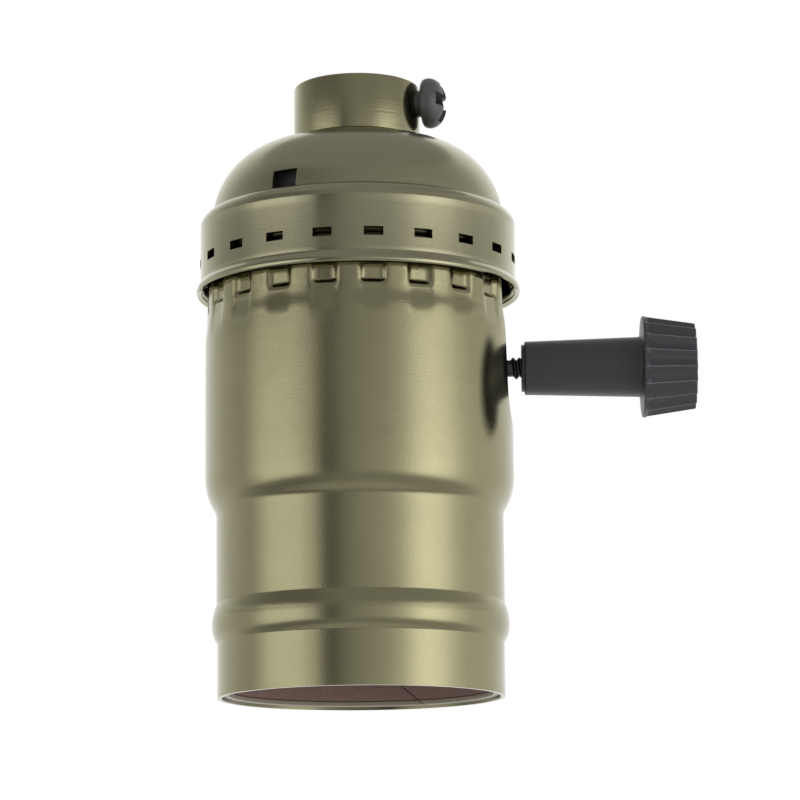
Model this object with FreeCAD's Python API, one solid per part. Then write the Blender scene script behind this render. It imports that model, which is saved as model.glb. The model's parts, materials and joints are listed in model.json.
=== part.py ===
import FreeCAD, Part

import math
import os

from FreeCAD import Vector

# Turn-knob lamp holder for an E27 lamp, hung from a threaded neck.
# Sizes are in millimetres. Heights are counted up from the open mouth while the
# pieces are made, and every piece is moved at the end so that the origin lies at
# the centre of the neck's upper face. The knob points along +X.
# The lamp thread sets the girth: core, liner, shell and cap follow it outwards.

# Outer shell, pressed from sheet
sheet = 0.5
skirt_height = 6.1
bead_height = 4.7
bead_rise = 0.6
lower_wall_step = 0.1
lower_wall_height = 9.3
shoulder_height = 4.5
shoulder_step = 1.25
upper_wall_height = 15.7
crest_share = 0.45
bead_corner_share = 0.18
shoulder_corner_share = 0.25
crimp_taper_height = 3.5
crimp_step = 0.2
crimp_collar_height = 10.5

# Pressed pockets round the collar and soft dents under them
pocket_count = 20
pocket_phase = 7.3
pocket_width = 2.6
pocket_depth = 0.6
pocket_height = 5.4
dent_radius = 5.0
dent_depth = 0.4
dent_drop = 1.6

# Cap, pressed from sheet
cap_overlap = 9.3
cap_clearance = 0.3
lip_height = 2.0
lip_flare = 0.42
lip_curl = 0.56
band_height = 6.3
cap_shoulder_height = 2.7
cap_shoulder_step = 1.6
dome_share = 0.45872
haunch_share = 0.55046
crown_share = 2.14067
slot_width = 2.15
slot_height = 1.0
slot_rise = 4.1
window_width = 2.9
window_rise = 2.1
window_height = 2.2
window_pitch_steps = -7

# Threaded neck
neck_radius = 7.2
neck_height = 6.5
neck_bore_radius = 4.46
spigot_step = 1.05
spigot_clearance = 0.05
stake_spread = 0.2
stake_height = 0.6
stake_gap = 0.02

# Set screw through the neck
screw_angle = -11.0
screw_drop = 2.2
screw_radius = 1.5
screw_thread_clearance = 0.05
screw_tip_setback = 0.25
screw_head_gap = 0.6
screw_head_radius = 2.9
screw_head_height = 2.6
screw_crown_height = 1.4
screw_flat_radius = 1.0
recess_width = 0.8
recess_length = 3.2
recess_depth = 1.2

# Knob, spindle and notch
notch_radius = 3.8
notch_drop = 2.2
notch_splay = 1.6
spindle_radius = 1.25
spindle_clearance = 0.08
spindle_tail = 2.0
spindle_grip = 8.6
spindle_neck_radius = 0.95
spindle_neck_setback = 0.7
knob_gap = 1.05
sleeve_length = 13.7
sleeve_inner_radius = 3.02
sleeve_outer_radius = 3.4
sleeve_chamfer = 0.35
head_length = 6.4
head_inner_radius = 5.75
head_outer_radius = 4.9
head_rim = 0.55
rim_taper = 0.05
head_fillet = 0.35
flute_count = 20
flute_depth = 0.4
knob_bore_clearance = 0.02

# Fibre liner inside the shell
liner_clearance = 0.1
liner_thickness = 0.7
liner_recess = 0.8
liner_drop = 0.6
liner_notch_margin = 0.9
seam_angle = 62.0
seam_gap = 0.25
seam_lean = 52.0
seam_corner_height = 3.0

# Lamp screw shell, rolled from thin sheet
thread_sheet = 0.35
thread_pitch = 3.629
thread_turns = 5
thread_major_radius = 13.3
thread_depth = 1.0
thread_mouth_ease = 0.15
thread_mouth_height = 2.5
thread_mouth_recess = 5.0
thread_top_land = 0.5
thread_base_hole = 6.0

# Insulating disc, switch housing and cover
core_rim = 0.19
core_clearance = 0.4
disc_height = 2.0
hub_clearance = 0.25
hub_depth = 0.8
floor_height = 2.5
chamber_height = 17.0
chamber_back = 8.5
chamber_front = 9.5
chamber_side_gap = 0.1
boss_rise = 0.5
boss_clearance = 0.15
cover_height = 2.5

# Switch parts
rotor_start = -7.0
cam_length = 5.0
cam_inset = 1.0
cam_corner_inset = 0.2
drum_length = 7.0
drum_share = 0.3217
rotor_room = 0.35
band_thickness = 0.25
pad_rise = 0.5
pad_length = 4.0
pad_half_angle = 30.0
rotor_clearance = 0.02
clip_setback = 0.2
clip_thickness = 0.6
clip_radius = 2.6
clip_groove_depth = 0.3
clip_opening = 1.6
leaf_thickness = 0.4
leaf_width = 3.0
leaf_offset = 1.5
leaf_gap = 0.15
detent_gap = 0.05
detent_width = 4.0

# Terminals, straps, contacts and fasteners
terminal_half_length = 3.5
terminal_setback = 0.6
terminal_rim = 2.0
terminal_thickness = 1.2
terminal_screw_radius = 1.5
terminal_head_radius = 2.7
terminal_head_height = 1.9
terminal_screw_length = 6.0
hole_clearance = 0.06
strap_width = 5.0
strap_foot_drop = 3.5
rivet_radius = 1.0
rivet_rim = 3.05
rivet_wall = 1.6
rivet_head_radius = 1.85
rivet_head_height = 0.55
contact_width = 5.0
contact_rivet_offset = -3.5
contact_rivet_radius = 0.8
contact_drop = 2.4
contact_curl = 0.5

# Fibre liner of the cap
cap_liner_thickness = 0.8
cap_liner_rim = 0.1
cap_liner_gap = 0.2
cap_liner_hole = 5.6
cap_liner_bend_share = 0.46
cap_liner_notch_height = 0.6
cap_liner_notch_margin = 0.3

# Radii that follow from the lamp thread outwards
thread_minor_radius = thread_major_radius - thread_depth
thread_mouth_radius = thread_major_radius + thread_mouth_ease
strap_inner = thread_major_radius + thread_sheet + hole_clearance
strap_outer = strap_inner + leaf_thickness
core_radius = strap_outer + core_rim
liner_inner_radius = core_radius + core_clearance
liner_radius = liner_inner_radius + liner_thickness
mouth_radius = liner_radius + liner_clearance + sheet
lower_wall_radius = mouth_radius + lower_wall_step
upper_wall_radius = lower_wall_radius + shoulder_step
collar_radius = upper_wall_radius - crimp_step
band_radius = collar_radius + cap_clearance + sheet
crease_radius = band_radius - cap_shoulder_step
dome_rise = crease_radius * dome_share
haunch_radius = crease_radius * haunch_share
crown_radius = crease_radius * crown_share
cap_liner_radius = core_radius - cap_liner_rim
cap_liner_bend_radius = cap_liner_radius * cap_liner_bend_share
spigot_radius = neck_radius - spigot_step
stake_radius = neck_radius + stake_spread
boss_reach = liner_radius + boss_rise
knob_start = upper_wall_radius + knob_gap
spindle_reach = knob_start + spindle_grip

# Sizes of the switch that follow from its core
drum_radius = core_radius * drum_share
cam_flat = drum_radius - cam_inset
cam_corner_radius = drum_radius - cam_corner_inset
pad_radius = drum_radius + band_thickness + pad_rise
leaf_plane = pad_radius + leaf_gap
chamber_half_width = leaf_plane + leaf_thickness + chamber_side_gap
terminal_inner = chamber_half_width + terminal_setback
terminal_outer = core_radius - terminal_rim
terminal_screw_offset = (terminal_inner + terminal_outer) / 2
rivet_circle = core_radius - rivet_rim
rivet_offset = chamber_half_width + rivet_wall
drum_start = rotor_start + cam_length
drum_end = drum_start + drum_length
clip_end = chamber_front - clip_setback
strap_groove_half = strap_width / 2 + hole_clearance

# Heights that follow from the sizes above
bead_start = skirt_height
lower_wall_start = bead_start + bead_height
shoulder_start = lower_wall_start + lower_wall_height
upper_wall_start = shoulder_start + shoulder_height
crimp_start = upper_wall_start + upper_wall_height
collar_start = crimp_start + crimp_taper_height
shell_top = collar_start + crimp_collar_height
cap_bottom = shell_top - cap_overlap
band_start = cap_bottom + lip_height
band_top = band_start + band_height
crease = band_top + cap_shoulder_height
cap_top = crease + dome_rise
neck_top = cap_top + neck_height
screw_height = neck_top - screw_drop
thread_start = thread_mouth_recess + thread_mouth_height
thread_end = thread_start + thread_pitch * thread_turns
flange_bottom = thread_end + thread_top_land
disc_bottom = flange_bottom + thread_sheet
housing_bottom = disc_bottom + disc_height
floor_top = housing_bottom + floor_height
axis_height = floor_top + leaf_thickness + rotor_room + pad_radius
chamber_top = floor_top + chamber_height
cover_top = chamber_top + cover_height
liner_top = cover_top - liner_drop
notch_centre = axis_height - notch_drop
full_turn = 360.0
parting = pocket_phase + full_turn * (0.5 - 1.5 / pocket_count)
tiny = 1e-6
up = Vector(0, 0, 1)
outward = Vector(1, 0, 0)
centre = Vector(0, 0, 0)


def at(radius, height):
    """Point of a section, in the plane through the axis."""
    return Vector(radius, 0, height)


def lines(points):
    """Straight edges through points given as radius and height."""
    corners = [at(*point) for point in points]
    return [Part.makeLine(a, b) for a, b in zip(corners, corners[1:])]


def arc(start, middle, end):
    """Arc through three points given as radius and height."""
    return Part.Arc(at(*start), at(*middle), at(*end)).toShape()


def arc_about(middle, start, end):
    """Shorter arc between two points about a centre, all as radius and height."""
    radius = math.hypot(start[0] - middle[0], start[1] - middle[1])
    half_way = (start[0] + end[0] - 2 * middle[0], start[1] + end[1] - 2 * middle[1])
    scale = radius / math.hypot(*half_way)
    crown = (middle[0] + half_way[0] * scale, middle[1] + half_way[1] * scale)
    return arc(start, crown, end)


def upright_centre(tip, joint):
    """Centre of the arc that is upright at its tip and passes through the joint."""
    across = joint[0] - tip[0]
    radius = (across ** 2 + (joint[1] - tip[1]) ** 2) / (2 * across)
    return (tip[0] + radius, tip[1])


def level_centre(tip, end):
    """Centre of the arc that runs along the first direction at its tip and ends at a point."""
    rise = end[1] - tip[1]
    radius = ((end[0] - tip[0]) ** 2 + rise ** 2) / (2 * rise)
    return (tip[0], tip[1] + radius)


def s_curve(start, end, share=0.5):
    """Two tangent arcs between upright walls; the share sets how tight the first is."""
    if abs(end[0] - start[0]) < tiny:
        return [(start, end, None)]
    joint = (start[0] + (end[0] - start[0]) * share, start[1] + (end[1] - start[1]) * share)
    return [
        (start, joint, upright_centre(start, joint)),
        (joint, end, upright_centre(end, joint)),
    ]


def inward(segment, point):
    """Unit direction to the left of travel along a segment, at one of its points."""
    start, end, middle = segment
    if middle is None:
        along = (end[0] - start[0], end[1] - start[1])
    else:
        spoke = (point[0] - middle[0], point[1] - middle[1])
        turn = (start[0] - middle[0]) * (end[1] - middle[1])
        turn -= (start[1] - middle[1]) * (end[0] - middle[0])
        side = math.copysign(1, turn)
        along = (-spoke[1] * side, spoke[0] * side)
    length = math.hypot(*along)
    return (-along[1] / length, along[0] / length)


def inset(path, thickness):
    """Path of segments moved to its left, with an arc wherever a corner opens."""
    moved = []
    for segment in path:
        start, end, middle = segment
        ends = []
        for point in (start, end):
            normal = inward(segment, point)
            ends.append((point[0] + normal[0] * thickness, point[1] + normal[1] * thickness))
        if moved and math.dist(moved[-1][1], ends[0]) > tiny:
            moved.append((moved[-1][1], ends[0], start))
        moved.append((ends[0], ends[1], middle))
    return moved


def path_edges(path):
    """Edges of a path of straight and round segments."""
    edges = []
    for start, end, middle in path:
        edges += lines([start, end]) if middle is None else [arc_about(middle, start, end)]
    return edges


def filled(path):
    """Solid turned from the area between a path and the axis."""
    first = path[0][0]
    last = path[-1][1]
    closing = lines([last, (0, last[1]), (0, first[1]), first])
    return turned(path_edges(path) + closing)


def hollow(path, thickness):
    """Solid that fills the inside of a sheet pressed along a path."""
    inner = inset(path, thickness)
    foot = path[0][0]
    if abs(inner[0][0][1] - foot[1]) > tiny:
        inner.insert(0, (foot, inner[0][0], None))
    return filled(inner)


def common_centre(first, first_reach, second, second_reach):
    """Point at given distances from two others, on the side nearer the axis."""
    across = second[0] - first[0]
    rise = second[1] - first[1]
    gap = math.hypot(across, rise)
    along = (gap ** 2 + first_reach ** 2 - second_reach ** 2) / (2 * gap)
    aside = math.sqrt(first_reach ** 2 - along ** 2)
    return (
        first[0] + (across * along - rise * aside) / gap,
        first[1] + (rise * along + across * aside) / gap,
    )


def turned(edges):
    """Solid turned about the upright axis from a closed section."""
    face = Part.Face(Part.Wire(edges))
    return spun(face.revolve(centre, up, full_turn), parting)


def pressed(path, thickness):
    """Sheet of even thickness turned from its outer line, drawn upwards."""
    return filled(path).cut(hollow(path, thickness))


def ring(outer, inner, low, high):
    """Plain ring about the upright axis."""
    return turned(lines([(inner, low), (outer, low), (outer, high), (inner, high), (inner, low)]))


def disc(radius, low, high, x=0.0, y=0.0):
    """Plain upright cylinder."""
    return Part.makeCylinder(radius, high - low, Vector(x, y, low))


def rod(radius, start, end, height, y=0.0):
    """Cylinder along +X at a height."""
    return Part.makeCylinder(radius, end - start, Vector(start, y, height), outward)


def block(x_range, y_range, z_range):
    """Box between two corners."""
    corner = Vector(x_range[0], y_range[0], z_range[0])
    return Part.makeBox(
        x_range[1] - x_range[0], y_range[1] - y_range[0], z_range[1] - z_range[0], corner
    )


def spun(shape, degrees):
    """Copy of a shape turned about the upright axis."""
    copy = shape.copy()
    copy.rotate(centre, up, degrees)
    return copy


def fused(shapes):
    """One solid from touching shapes, with the seams between them removed."""
    whole = shapes[0]
    for shape in shapes[1:]:
        whole = whole.fuse(shape)
    return whole.removeSplitter()


def around(shape, count, phase=0.0):
    """Copies of a shape spaced evenly about the upright axis."""
    return [spun(shape, phase + full_turn / count * step) for step in range(count)]


def save(name, shape):
    """Move a finished piece to the part's frame and write it."""
    placed = shape.copy()
    placed.translate(Vector(0, 0, -neck_top))
    placed.exportStep("parts/" + name + ".step")


def notch_tool(margin, start, end):
    """Round-bottomed block along +X that opens the shell for the spindle."""
    half = notch_radius + margin
    top_half = half + notch_splay
    top = shell_top + sheet
    low = Vector(start, 0, notch_centre - half)
    left = Vector(start, -half, notch_centre)
    right = Vector(start, half, notch_centre)
    edges = [
        Part.Arc(left, low, right).toShape(),
        Part.makeLine(right, Vector(start, top_half, top)),
        Part.makeLine(Vector(start, top_half, top), Vector(start, -top_half, top)),
        Part.makeLine(Vector(start, -top_half, top), left),
    ]
    return Part.Face(Part.Wire(edges)).extrude(Vector(end - start, 0, 0))


def shell_outline():
    """Outer line of the body shell, from the mouth up to its top edge."""
    bead_crest = (mouth_radius + bead_rise, bead_start + bead_height * crest_share)
    path = [((mouth_radius, 0), (mouth_radius, bead_start), None)]
    path += s_curve((mouth_radius, bead_start), bead_crest, bead_corner_share)
    path += s_curve(bead_crest, (lower_wall_radius, lower_wall_start), 1 - bead_corner_share)
    path.append(((lower_wall_radius, lower_wall_start), (lower_wall_radius, shoulder_start), None))
    shoulder_foot = (lower_wall_radius, shoulder_start)
    shoulder_head = (upper_wall_radius, upper_wall_start)
    path += s_curve(shoulder_foot, shoulder_head, shoulder_corner_share)
    path.append(((upper_wall_radius, upper_wall_start), (upper_wall_radius, crimp_start), None))
    path += s_curve((upper_wall_radius, crimp_start), (collar_radius, collar_start))
    path.append(((collar_radius, collar_start), (collar_radius, shell_top), None))
    return path


def pocket_form(offset):
    """One pressed pocket and the soft dent below it, grown by the sheet on the inside."""
    floor_radius = collar_radius - pocket_depth - offset
    half = pocket_width / 2 + offset
    low = collar_start - offset
    high = collar_start + pocket_height + offset
    pocket = block((floor_radius, upper_wall_radius + sheet), (-half, half), (low, high))
    dent_centre = Vector(
        upper_wall_radius + dent_radius - dent_depth, 0, collar_start - dent_drop
    )
    dent = Part.makeSphere(dent_radius + offset, dent_centre)
    return pocket.fuse(dent)


def make_body_shell():
    """Pressed shell with bead, shoulder, crimped collar and spindle notch."""
    path = shell_outline()
    outer = filled(path)
    outer = outer.cut(Part.makeCompound(around(pocket_form(0.0), pocket_count, pocket_phase)))
    inner = hollow(path, sheet)
    inner = inner.cut(Part.makeCompound(around(pocket_form(sheet), pocket_count, pocket_phase)))
    return outer.cut(inner).cut(notch_tool(0.0, chamber_front, upper_wall_radius + sheet))


def cap_outline():
    """Outer line of the cap, from its rolled lip to the flat under the neck."""
    flare_radius = band_radius + lip_flare
    lip_edge = (flare_radius - lip_curl, cap_bottom)
    lip_crest = (flare_radius, cap_bottom + lip_height * crest_share)
    crown_centre = (0, cap_top - math.sqrt(crown_radius ** 2 - stake_radius ** 2))
    rim = (crease_radius, crease)
    haunch_centre = common_centre(crown_centre, crown_radius - haunch_radius, rim, haunch_radius)
    reach = crown_radius / (crown_radius - haunch_radius)
    blend = (
        haunch_centre[0] * reach,
        crown_centre[1] + (haunch_centre[1] - crown_centre[1]) * reach,
    )
    path = [(lip_edge, lip_crest, upright_centre(lip_crest, lip_edge))]
    path += s_curve(lip_crest, (band_radius, band_start))
    path.append(((band_radius, band_start), (band_radius, band_top), None))
    path.append(((band_radius, band_top), rim, upright_centre((band_radius, band_top), rim)))
    path.append((rim, blend, haunch_centre))
    path.append((blend, (stake_radius, cap_top), crown_centre))
    return path


def make_cap():
    """Domed cap with a rolled lip, a row of slots and one larger window."""
    cap = pressed(cap_outline(), sheet)
    cap = cap.cut(disc(spigot_radius + spigot_clearance, cap_bottom, neck_top))
    slot_low = cap_bottom + slot_rise - slot_height / 2
    slot = block(
        (collar_radius, band_radius + sheet),
        (-slot_width / 2, slot_width / 2),
        (slot_low, slot_low + slot_height),
    )
    window = block(
        (crease_radius - 2 * sheet, band_radius + sheet),
        (-window_width / 2, window_width / 2),
        (band_top + window_rise, band_top + window_rise + window_height),
    )
    window_angle = pocket_phase + window_pitch_steps * full_turn / pocket_count
    openings = around(slot, pocket_count, pocket_phase) + [spun(window, window_angle)]
    return cap.cut(Part.makeCompound(openings))


def make_neck():
    """Threaded neck with a spigot staked under the cap and a hole for the set screw."""
    stake_top = cap_top - sheet - stake_gap
    section = [
        (neck_bore_radius, stake_top - stake_height),
        (stake_radius, stake_top - stake_height),
        (stake_radius, stake_top),
        (spigot_radius, stake_top),
        (spigot_radius, cap_top),
        (neck_radius, cap_top),
        (neck_radius, neck_top),
        (neck_bore_radius, neck_top),
        (neck_bore_radius, stake_top - stake_height),
    ]
    hole = rod(screw_radius + screw_thread_clearance, 0, neck_radius + sheet, screw_height)
    return turned(lines(section)).cut(spun(hole, screw_angle))


def make_set_screw():
    """Pan-headed screw with a cross recess, backed off from the neck as it is stored."""
    head_start = neck_radius + screw_head_gap
    head_end = head_start + screw_head_height
    shank = rod(screw_radius, neck_bore_radius + screw_tip_setback, head_start, screw_height)
    rim = (head_end - screw_crown_height, screw_head_radius)
    crown = (head_end, screw_flat_radius)
    edges = lines([rim, (head_start, screw_head_radius), (head_start, 0), (head_end, 0), crown])
    edges.append(arc_about(level_centre(rim, crown), crown, rim))
    head = Part.Face(Part.Wire(edges)).revolve(centre, outward, full_turn)
    head.translate(Vector(0, 0, screw_height))
    screw = shank.fuse(head)
    depth = (head_end - recess_depth, head_end + recess_depth)
    wide = (-recess_length / 2, recess_length / 2)
    thin = (-recess_width / 2, recess_width / 2)
    for across, tall in ((wide, thin), (thin, wide)):
        screw = screw.cut(block(depth, across, (screw_height + tall[0], screw_height + tall[1])))
    return spun(screw, screw_angle)


def make_cap_liner():
    """Fibre cup that keeps the wiring off the cap, standing on the switch cover."""
    top = cap_top - sheet - stake_height - cap_liner_gap
    bend_start = (cap_liner_radius, top - cap_liner_bend_radius)
    bend_end = (cap_liner_radius - cap_liner_bend_radius, top)
    path = [((cap_liner_radius, cover_top), bend_start, None)]
    path.append((bend_start, bend_end, (bend_end[0], bend_start[1])))
    half = strap_width / 2 + cap_liner_notch_margin
    notch = block(
        (-half, half),
        (-core_radius, -cap_liner_radius / 2),
        (cover_top - sheet, cover_top + cap_liner_notch_height),
    )
    cup = pressed(path, cap_liner_thickness)
    return cup.cut(notch).cut(disc(cap_liner_hole, cover_top, neck_top))


def make_body_liner():
    """Fibre tube inside the shell, with an open seam and a notch for the switch boss."""
    tube = ring(liner_radius, liner_inner_radius, liner_recess, liner_top)
    tube = tube.cut(spun(seam_tool(), seam_angle))
    return tube.cut(notch_tool(liner_notch_margin, 0, liner_radius + sheet))


def seam_tool():
    """Thin slit where the liner's edges meet, leaning at the cut corner near the mouth."""
    half = seam_gap / 2
    low = liner_recess - sheet
    bend = liner_recess + seam_corner_height
    high = liner_top + sheet
    aside = (bend - low) * math.tan(math.radians(seam_lean))
    outline = [
        (-half, low), (half, low), (aside + half, bend),
        (aside + half, high), (aside - half, high), (aside - half, bend), (-half, low),
    ]
    inner = liner_inner_radius / 2
    corners = [Vector(inner, across, height) for across, height in outline]
    return Part.Face(Part.makePolygon(corners)).extrude(Vector(liner_radius, 0, 0))


def make_screw_shell():
    """Rolled lamp thread with a plain mouth and a base flange."""
    outer_major = thread_major_radius + thread_sheet
    outer_minor = thread_minor_radius + thread_sheet
    outer_mouth = thread_mouth_radius + thread_sheet
    path = [((outer_mouth, thread_mouth_recess), (outer_mouth, thread_start), None)]
    start = (outer_mouth, thread_start)
    for turn in range(thread_turns):
        middle = thread_start + thread_pitch * (turn + 0.5)
        end = thread_start + thread_pitch * (turn + 1)
        path += s_curve(start, (outer_minor, middle))
        path += s_curve((outer_minor, middle), (outer_major, end))
        start = (outer_major, end)
    shell = filled(path + [(start, (outer_major, disc_bottom), None)])
    shell = shell.cut(hollow(path + [(start, (outer_major, flange_bottom), None)], thread_sheet))
    shell = shell.cut(disc(thread_base_hole, flange_bottom - sheet, disc_bottom + sheet))
    return shell.cut(rivet_holes(flange_bottom, disc_bottom))


def rivet_places():
    """Centres of the two through rivets, on one line through the axis."""
    along = math.sqrt(rivet_circle ** 2 - rivet_offset ** 2)
    return [(along, rivet_offset), (-along, -rivet_offset)]


def rivet_holes(low, high):
    """Clearance holes for the through rivets."""
    radius = rivet_radius + hole_clearance
    return Part.makeCompound(
        [disc(radius, low - sheet, high + sheet, x, y) for x, y in rivet_places()]
    )


def strap_groove(low, high):
    """Slot in the rim of the core for the neutral strap."""
    return block(
        (-strap_groove_half, strap_groove_half),
        (-core_radius - sheet, -strap_inner + hole_clearance),
        (low - sheet, high + sheet),
    )


def make_insulating_disc():
    """Disc between lamp shell and switch, with a hub through the shell's base."""
    hub_radius = thread_base_hole - hub_clearance
    body = fused(
        [
            disc(core_radius, disc_bottom, housing_bottom),
            disc(hub_radius, flange_bottom - hub_depth, disc_bottom),
        ]
    )
    body = body.cut(rivet_holes(disc_bottom, housing_bottom))
    body = body.cut(strap_groove(disc_bottom, housing_bottom))
    return body.cut(contact_rivet_hole(flange_bottom - hub_depth, housing_bottom))


def contact_rivet_hole(low, high):
    """Hole for the rivet of the centre contact."""
    radius = contact_rivet_radius + hole_clearance
    return disc(radius, low - sheet, high + sheet, contact_rivet_offset)


def screw_holes(low, high):
    """Holes for the two terminal screws."""
    radius = terminal_screw_radius + hole_clearance
    sides = (-terminal_screw_offset, terminal_screw_offset)
    return Part.makeCompound([disc(radius, low, high, 0, side) for side in sides])


def make_switch_housing():
    """Moulded housing with a chamber for the rotor and a boss in the shell's notch."""
    body = disc(core_radius, housing_bottom, chamber_top)
    boss = notch_tool(-boss_clearance, chamber_front, boss_reach)
    room = block(
        (chamber_front, boss_reach),
        (-core_radius, core_radius),
        (housing_bottom, chamber_top),
    )
    body = fused([body, boss.common(room)])
    chamber = block(
        (-chamber_back, chamber_front),
        (-chamber_half_width, chamber_half_width),
        (floor_top, chamber_top + sheet),
    )
    body = body.cut(chamber)
    bearing = rod(
        spindle_radius + spindle_clearance,
        -chamber_back - spindle_tail - sheet,
        boss_reach + sheet,
        axis_height,
    )
    body = body.cut(bearing)
    body = body.cut(rivet_holes(housing_bottom, chamber_top))
    body = body.cut(strap_groove(housing_bottom, chamber_top))
    body = body.cut(contact_rivet_hole(housing_bottom, floor_top))
    hole_bottom = cover_top + leaf_thickness - terminal_screw_length - sheet
    return body.cut(screw_holes(hole_bottom, chamber_top + sheet))


def make_switch_cover():
    """Moulded cover over the rotor chamber, with slots for the two leaves."""
    cover = disc(core_radius, chamber_top, cover_top)
    cover = cover.cut(rivet_holes(chamber_top, cover_top))
    cover = cover.cut(strap_groove(chamber_top, cover_top))
    cover = cover.cut(screw_holes(chamber_top - sheet, cover_top + sheet))
    slot = block(
        (leaf_offset - leaf_width / 2 - hole_clearance, leaf_offset + leaf_width / 2 + hole_clearance),
        (leaf_plane - hole_clearance, leaf_plane + leaf_thickness + hole_clearance),
        (chamber_top - sheet, cover_top + sheet),
    )
    return cover.cut(slot)


def make_line_leaf():
    """Spring leaf from the live terminal down beside the rotor."""
    x_range = (leaf_offset - leaf_width / 2, leaf_offset + leaf_width / 2)
    thick = (leaf_plane, leaf_plane + leaf_thickness)
    drop = block(x_range, thick, (axis_height - leaf_width, cover_top))
    tab = block(
        (-terminal_half_length, terminal_half_length),
        (leaf_plane, terminal_outer),
        (cover_top, cover_top + leaf_thickness),
    )
    hole = screw_holes(cover_top - sheet, cover_top + leaf_thickness + sheet)
    return fused([drop, tab]).cut(hole)


def make_lamp_leaf():
    """Spring leaf from the centre rivet up beside the rotor on the other side."""
    x_range = (leaf_offset - leaf_width / 2, leaf_offset + leaf_width / 2)
    thick = (-leaf_plane - leaf_thickness, -leaf_plane)
    rise = block(x_range, thick, (floor_top, axis_height + leaf_width))
    foot = block(
        (contact_rivet_offset - leaf_width / 2, x_range[1]),
        (thick[0], leaf_width / 2),
        (floor_top, floor_top + leaf_thickness),
    )
    return fused([rise, foot]).cut(contact_rivet_hole(floor_top, floor_top + leaf_thickness))


def make_terminal(side):
    """Brass terminal plate, clamping what lies under it on the cover."""
    bottom = cover_top + leaf_thickness
    reach = sorted((side * terminal_inner, side * terminal_outer))
    plate = block(
        (-terminal_half_length, terminal_half_length), reach, (bottom, bottom + terminal_thickness)
    )
    upright = [edge for edge in plate.Edges if edge.BoundBox.ZLength > terminal_thickness / 2]
    plate = plate.makeFillet(terminal_thickness / 2, upright)
    return plate.cut(screw_holes(bottom - sheet, bottom + terminal_thickness + sheet))


def make_terminal_screws():
    """Two slotted screws that clamp the wires."""
    bottom = cover_top + leaf_thickness + terminal_thickness
    screws = []
    for side in (-terminal_screw_offset, terminal_screw_offset):
        shank = disc(
            terminal_screw_radius, cover_top + leaf_thickness - terminal_screw_length, bottom, 0, side
        )
        head = disc(terminal_head_radius, bottom, bottom + terminal_head_height, 0, side)
        head = head.makeFillet(terminal_head_height / 3, [head.Edges[0]])
        slot = block(
            (-terminal_head_radius, terminal_head_radius),
            (side - recess_width / 2, side + recess_width / 2),
            (bottom + terminal_head_height / 2, bottom + 2 * terminal_head_height),
        )
        screws.append(fused([shank, head]).cut(slot))
    return Part.makeCompound(screws)


def make_neutral_strap():
    """Strip from the neutral terminal down the core to the lamp shell."""
    half = strap_width / 2
    drop = block(
        (-half, half),
        (-strap_outer, -strap_inner),
        (disc_bottom - strap_foot_drop, cover_top + leaf_thickness),
    )
    tab = block((-half, half), (-strap_outer, -terminal_inner), (cover_top, cover_top + leaf_thickness))
    hole = screw_holes(cover_top - sheet, cover_top + leaf_thickness + sheet)
    return fused([drop, tab]).cut(hole)


def make_rivets():
    """Two rivets that hold lamp shell, disc, housing and cover together."""
    rivets = []
    for x, y in rivet_places():
        shank = disc(rivet_radius, flange_bottom, cover_top, x, y)
        low_head = disc(rivet_head_radius, flange_bottom - rivet_head_height, flange_bottom, x, y)
        high_head = disc(rivet_head_radius, cover_top, cover_top + rivet_head_height, x, y)
        rivets.append(fused([shank, low_head, high_head]))
    return Part.makeCompound(rivets)


def make_contact_rivet():
    """Rivet that joins the centre contact to the switch's lamp leaf."""
    low = flange_bottom - hub_depth - leaf_thickness
    high = floor_top + leaf_thickness
    x = contact_rivet_offset
    return fused(
        [
            disc(contact_rivet_radius, low, high, x),
            disc(contact_rivet_radius * 2, low - rivet_head_height, low, x),
            disc(contact_rivet_radius * 2, high, high + rivet_head_height, x),
        ]
    )


def make_centre_contact():
    """Bent spring strip whose raised tongue meets the lamp's tip."""
    top = flange_bottom - hub_depth
    reach = thread_base_hole - hub_clearance - leaf_thickness
    low = top - contact_drop
    bend = reach / 5
    crest = ((bend + reach) / 2, low)
    edges = lines([(-reach, top), (-bend, top), (bend, low + contact_curl)])
    edges.append(arc((bend, low + contact_curl), crest, (reach, low + contact_curl)))
    strip = Part.Wire(edges).makeOffset2D(leaf_thickness, 0, True, True)
    strip.translate(Vector(0, -contact_width / 2, top - strip.BoundBox.ZMax))
    solid = strip.extrude(Vector(0, contact_width, 0))
    return solid.cut(contact_rivet_hole(low, top))


def make_rotor():
    """Moulded rotor: a square detent cam beside a round drum."""
    square = block(
        (rotor_start, drum_start),
        (-cam_flat, cam_flat),
        (axis_height - cam_flat, axis_height + cam_flat),
    )
    cam = square.common(rod(cam_corner_radius, rotor_start, drum_start, axis_height))
    drum = rod(drum_radius, drum_start, drum_end, axis_height)
    bore = rod(spindle_radius + rotor_clearance, rotor_start - sheet, drum_end + sheet, axis_height)
    return fused([cam, drum]).cut(bore)


def make_rotor_contact():
    """Brass band round the drum with two raised pads."""
    start = leaf_offset - pad_length / 2
    inner = drum_radius + rotor_clearance
    band = rod(inner + band_thickness, start, start + pad_length / 3, axis_height)
    pads = rod(pad_radius, start, start + pad_length, axis_height)
    reach = 2 * pad_radius
    slope = reach * math.tan(math.radians(pad_half_angle))
    sectors = []
    for side in (-reach, reach):
        tip = Vector(start, 0, axis_height)
        low = Vector(start, side, axis_height - slope)
        high = Vector(start, side, axis_height + slope)
        face = Part.Face(Part.makePolygon([tip, low, high, tip]))
        sectors.append(face.extrude(Vector(pad_length, 0, 0)))
    pads = pads.common(Part.makeCompound(sectors))
    drum = rod(inner, start - sheet, start + pad_length + sheet, axis_height)
    return fused([band, pads]).cut(drum)


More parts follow.
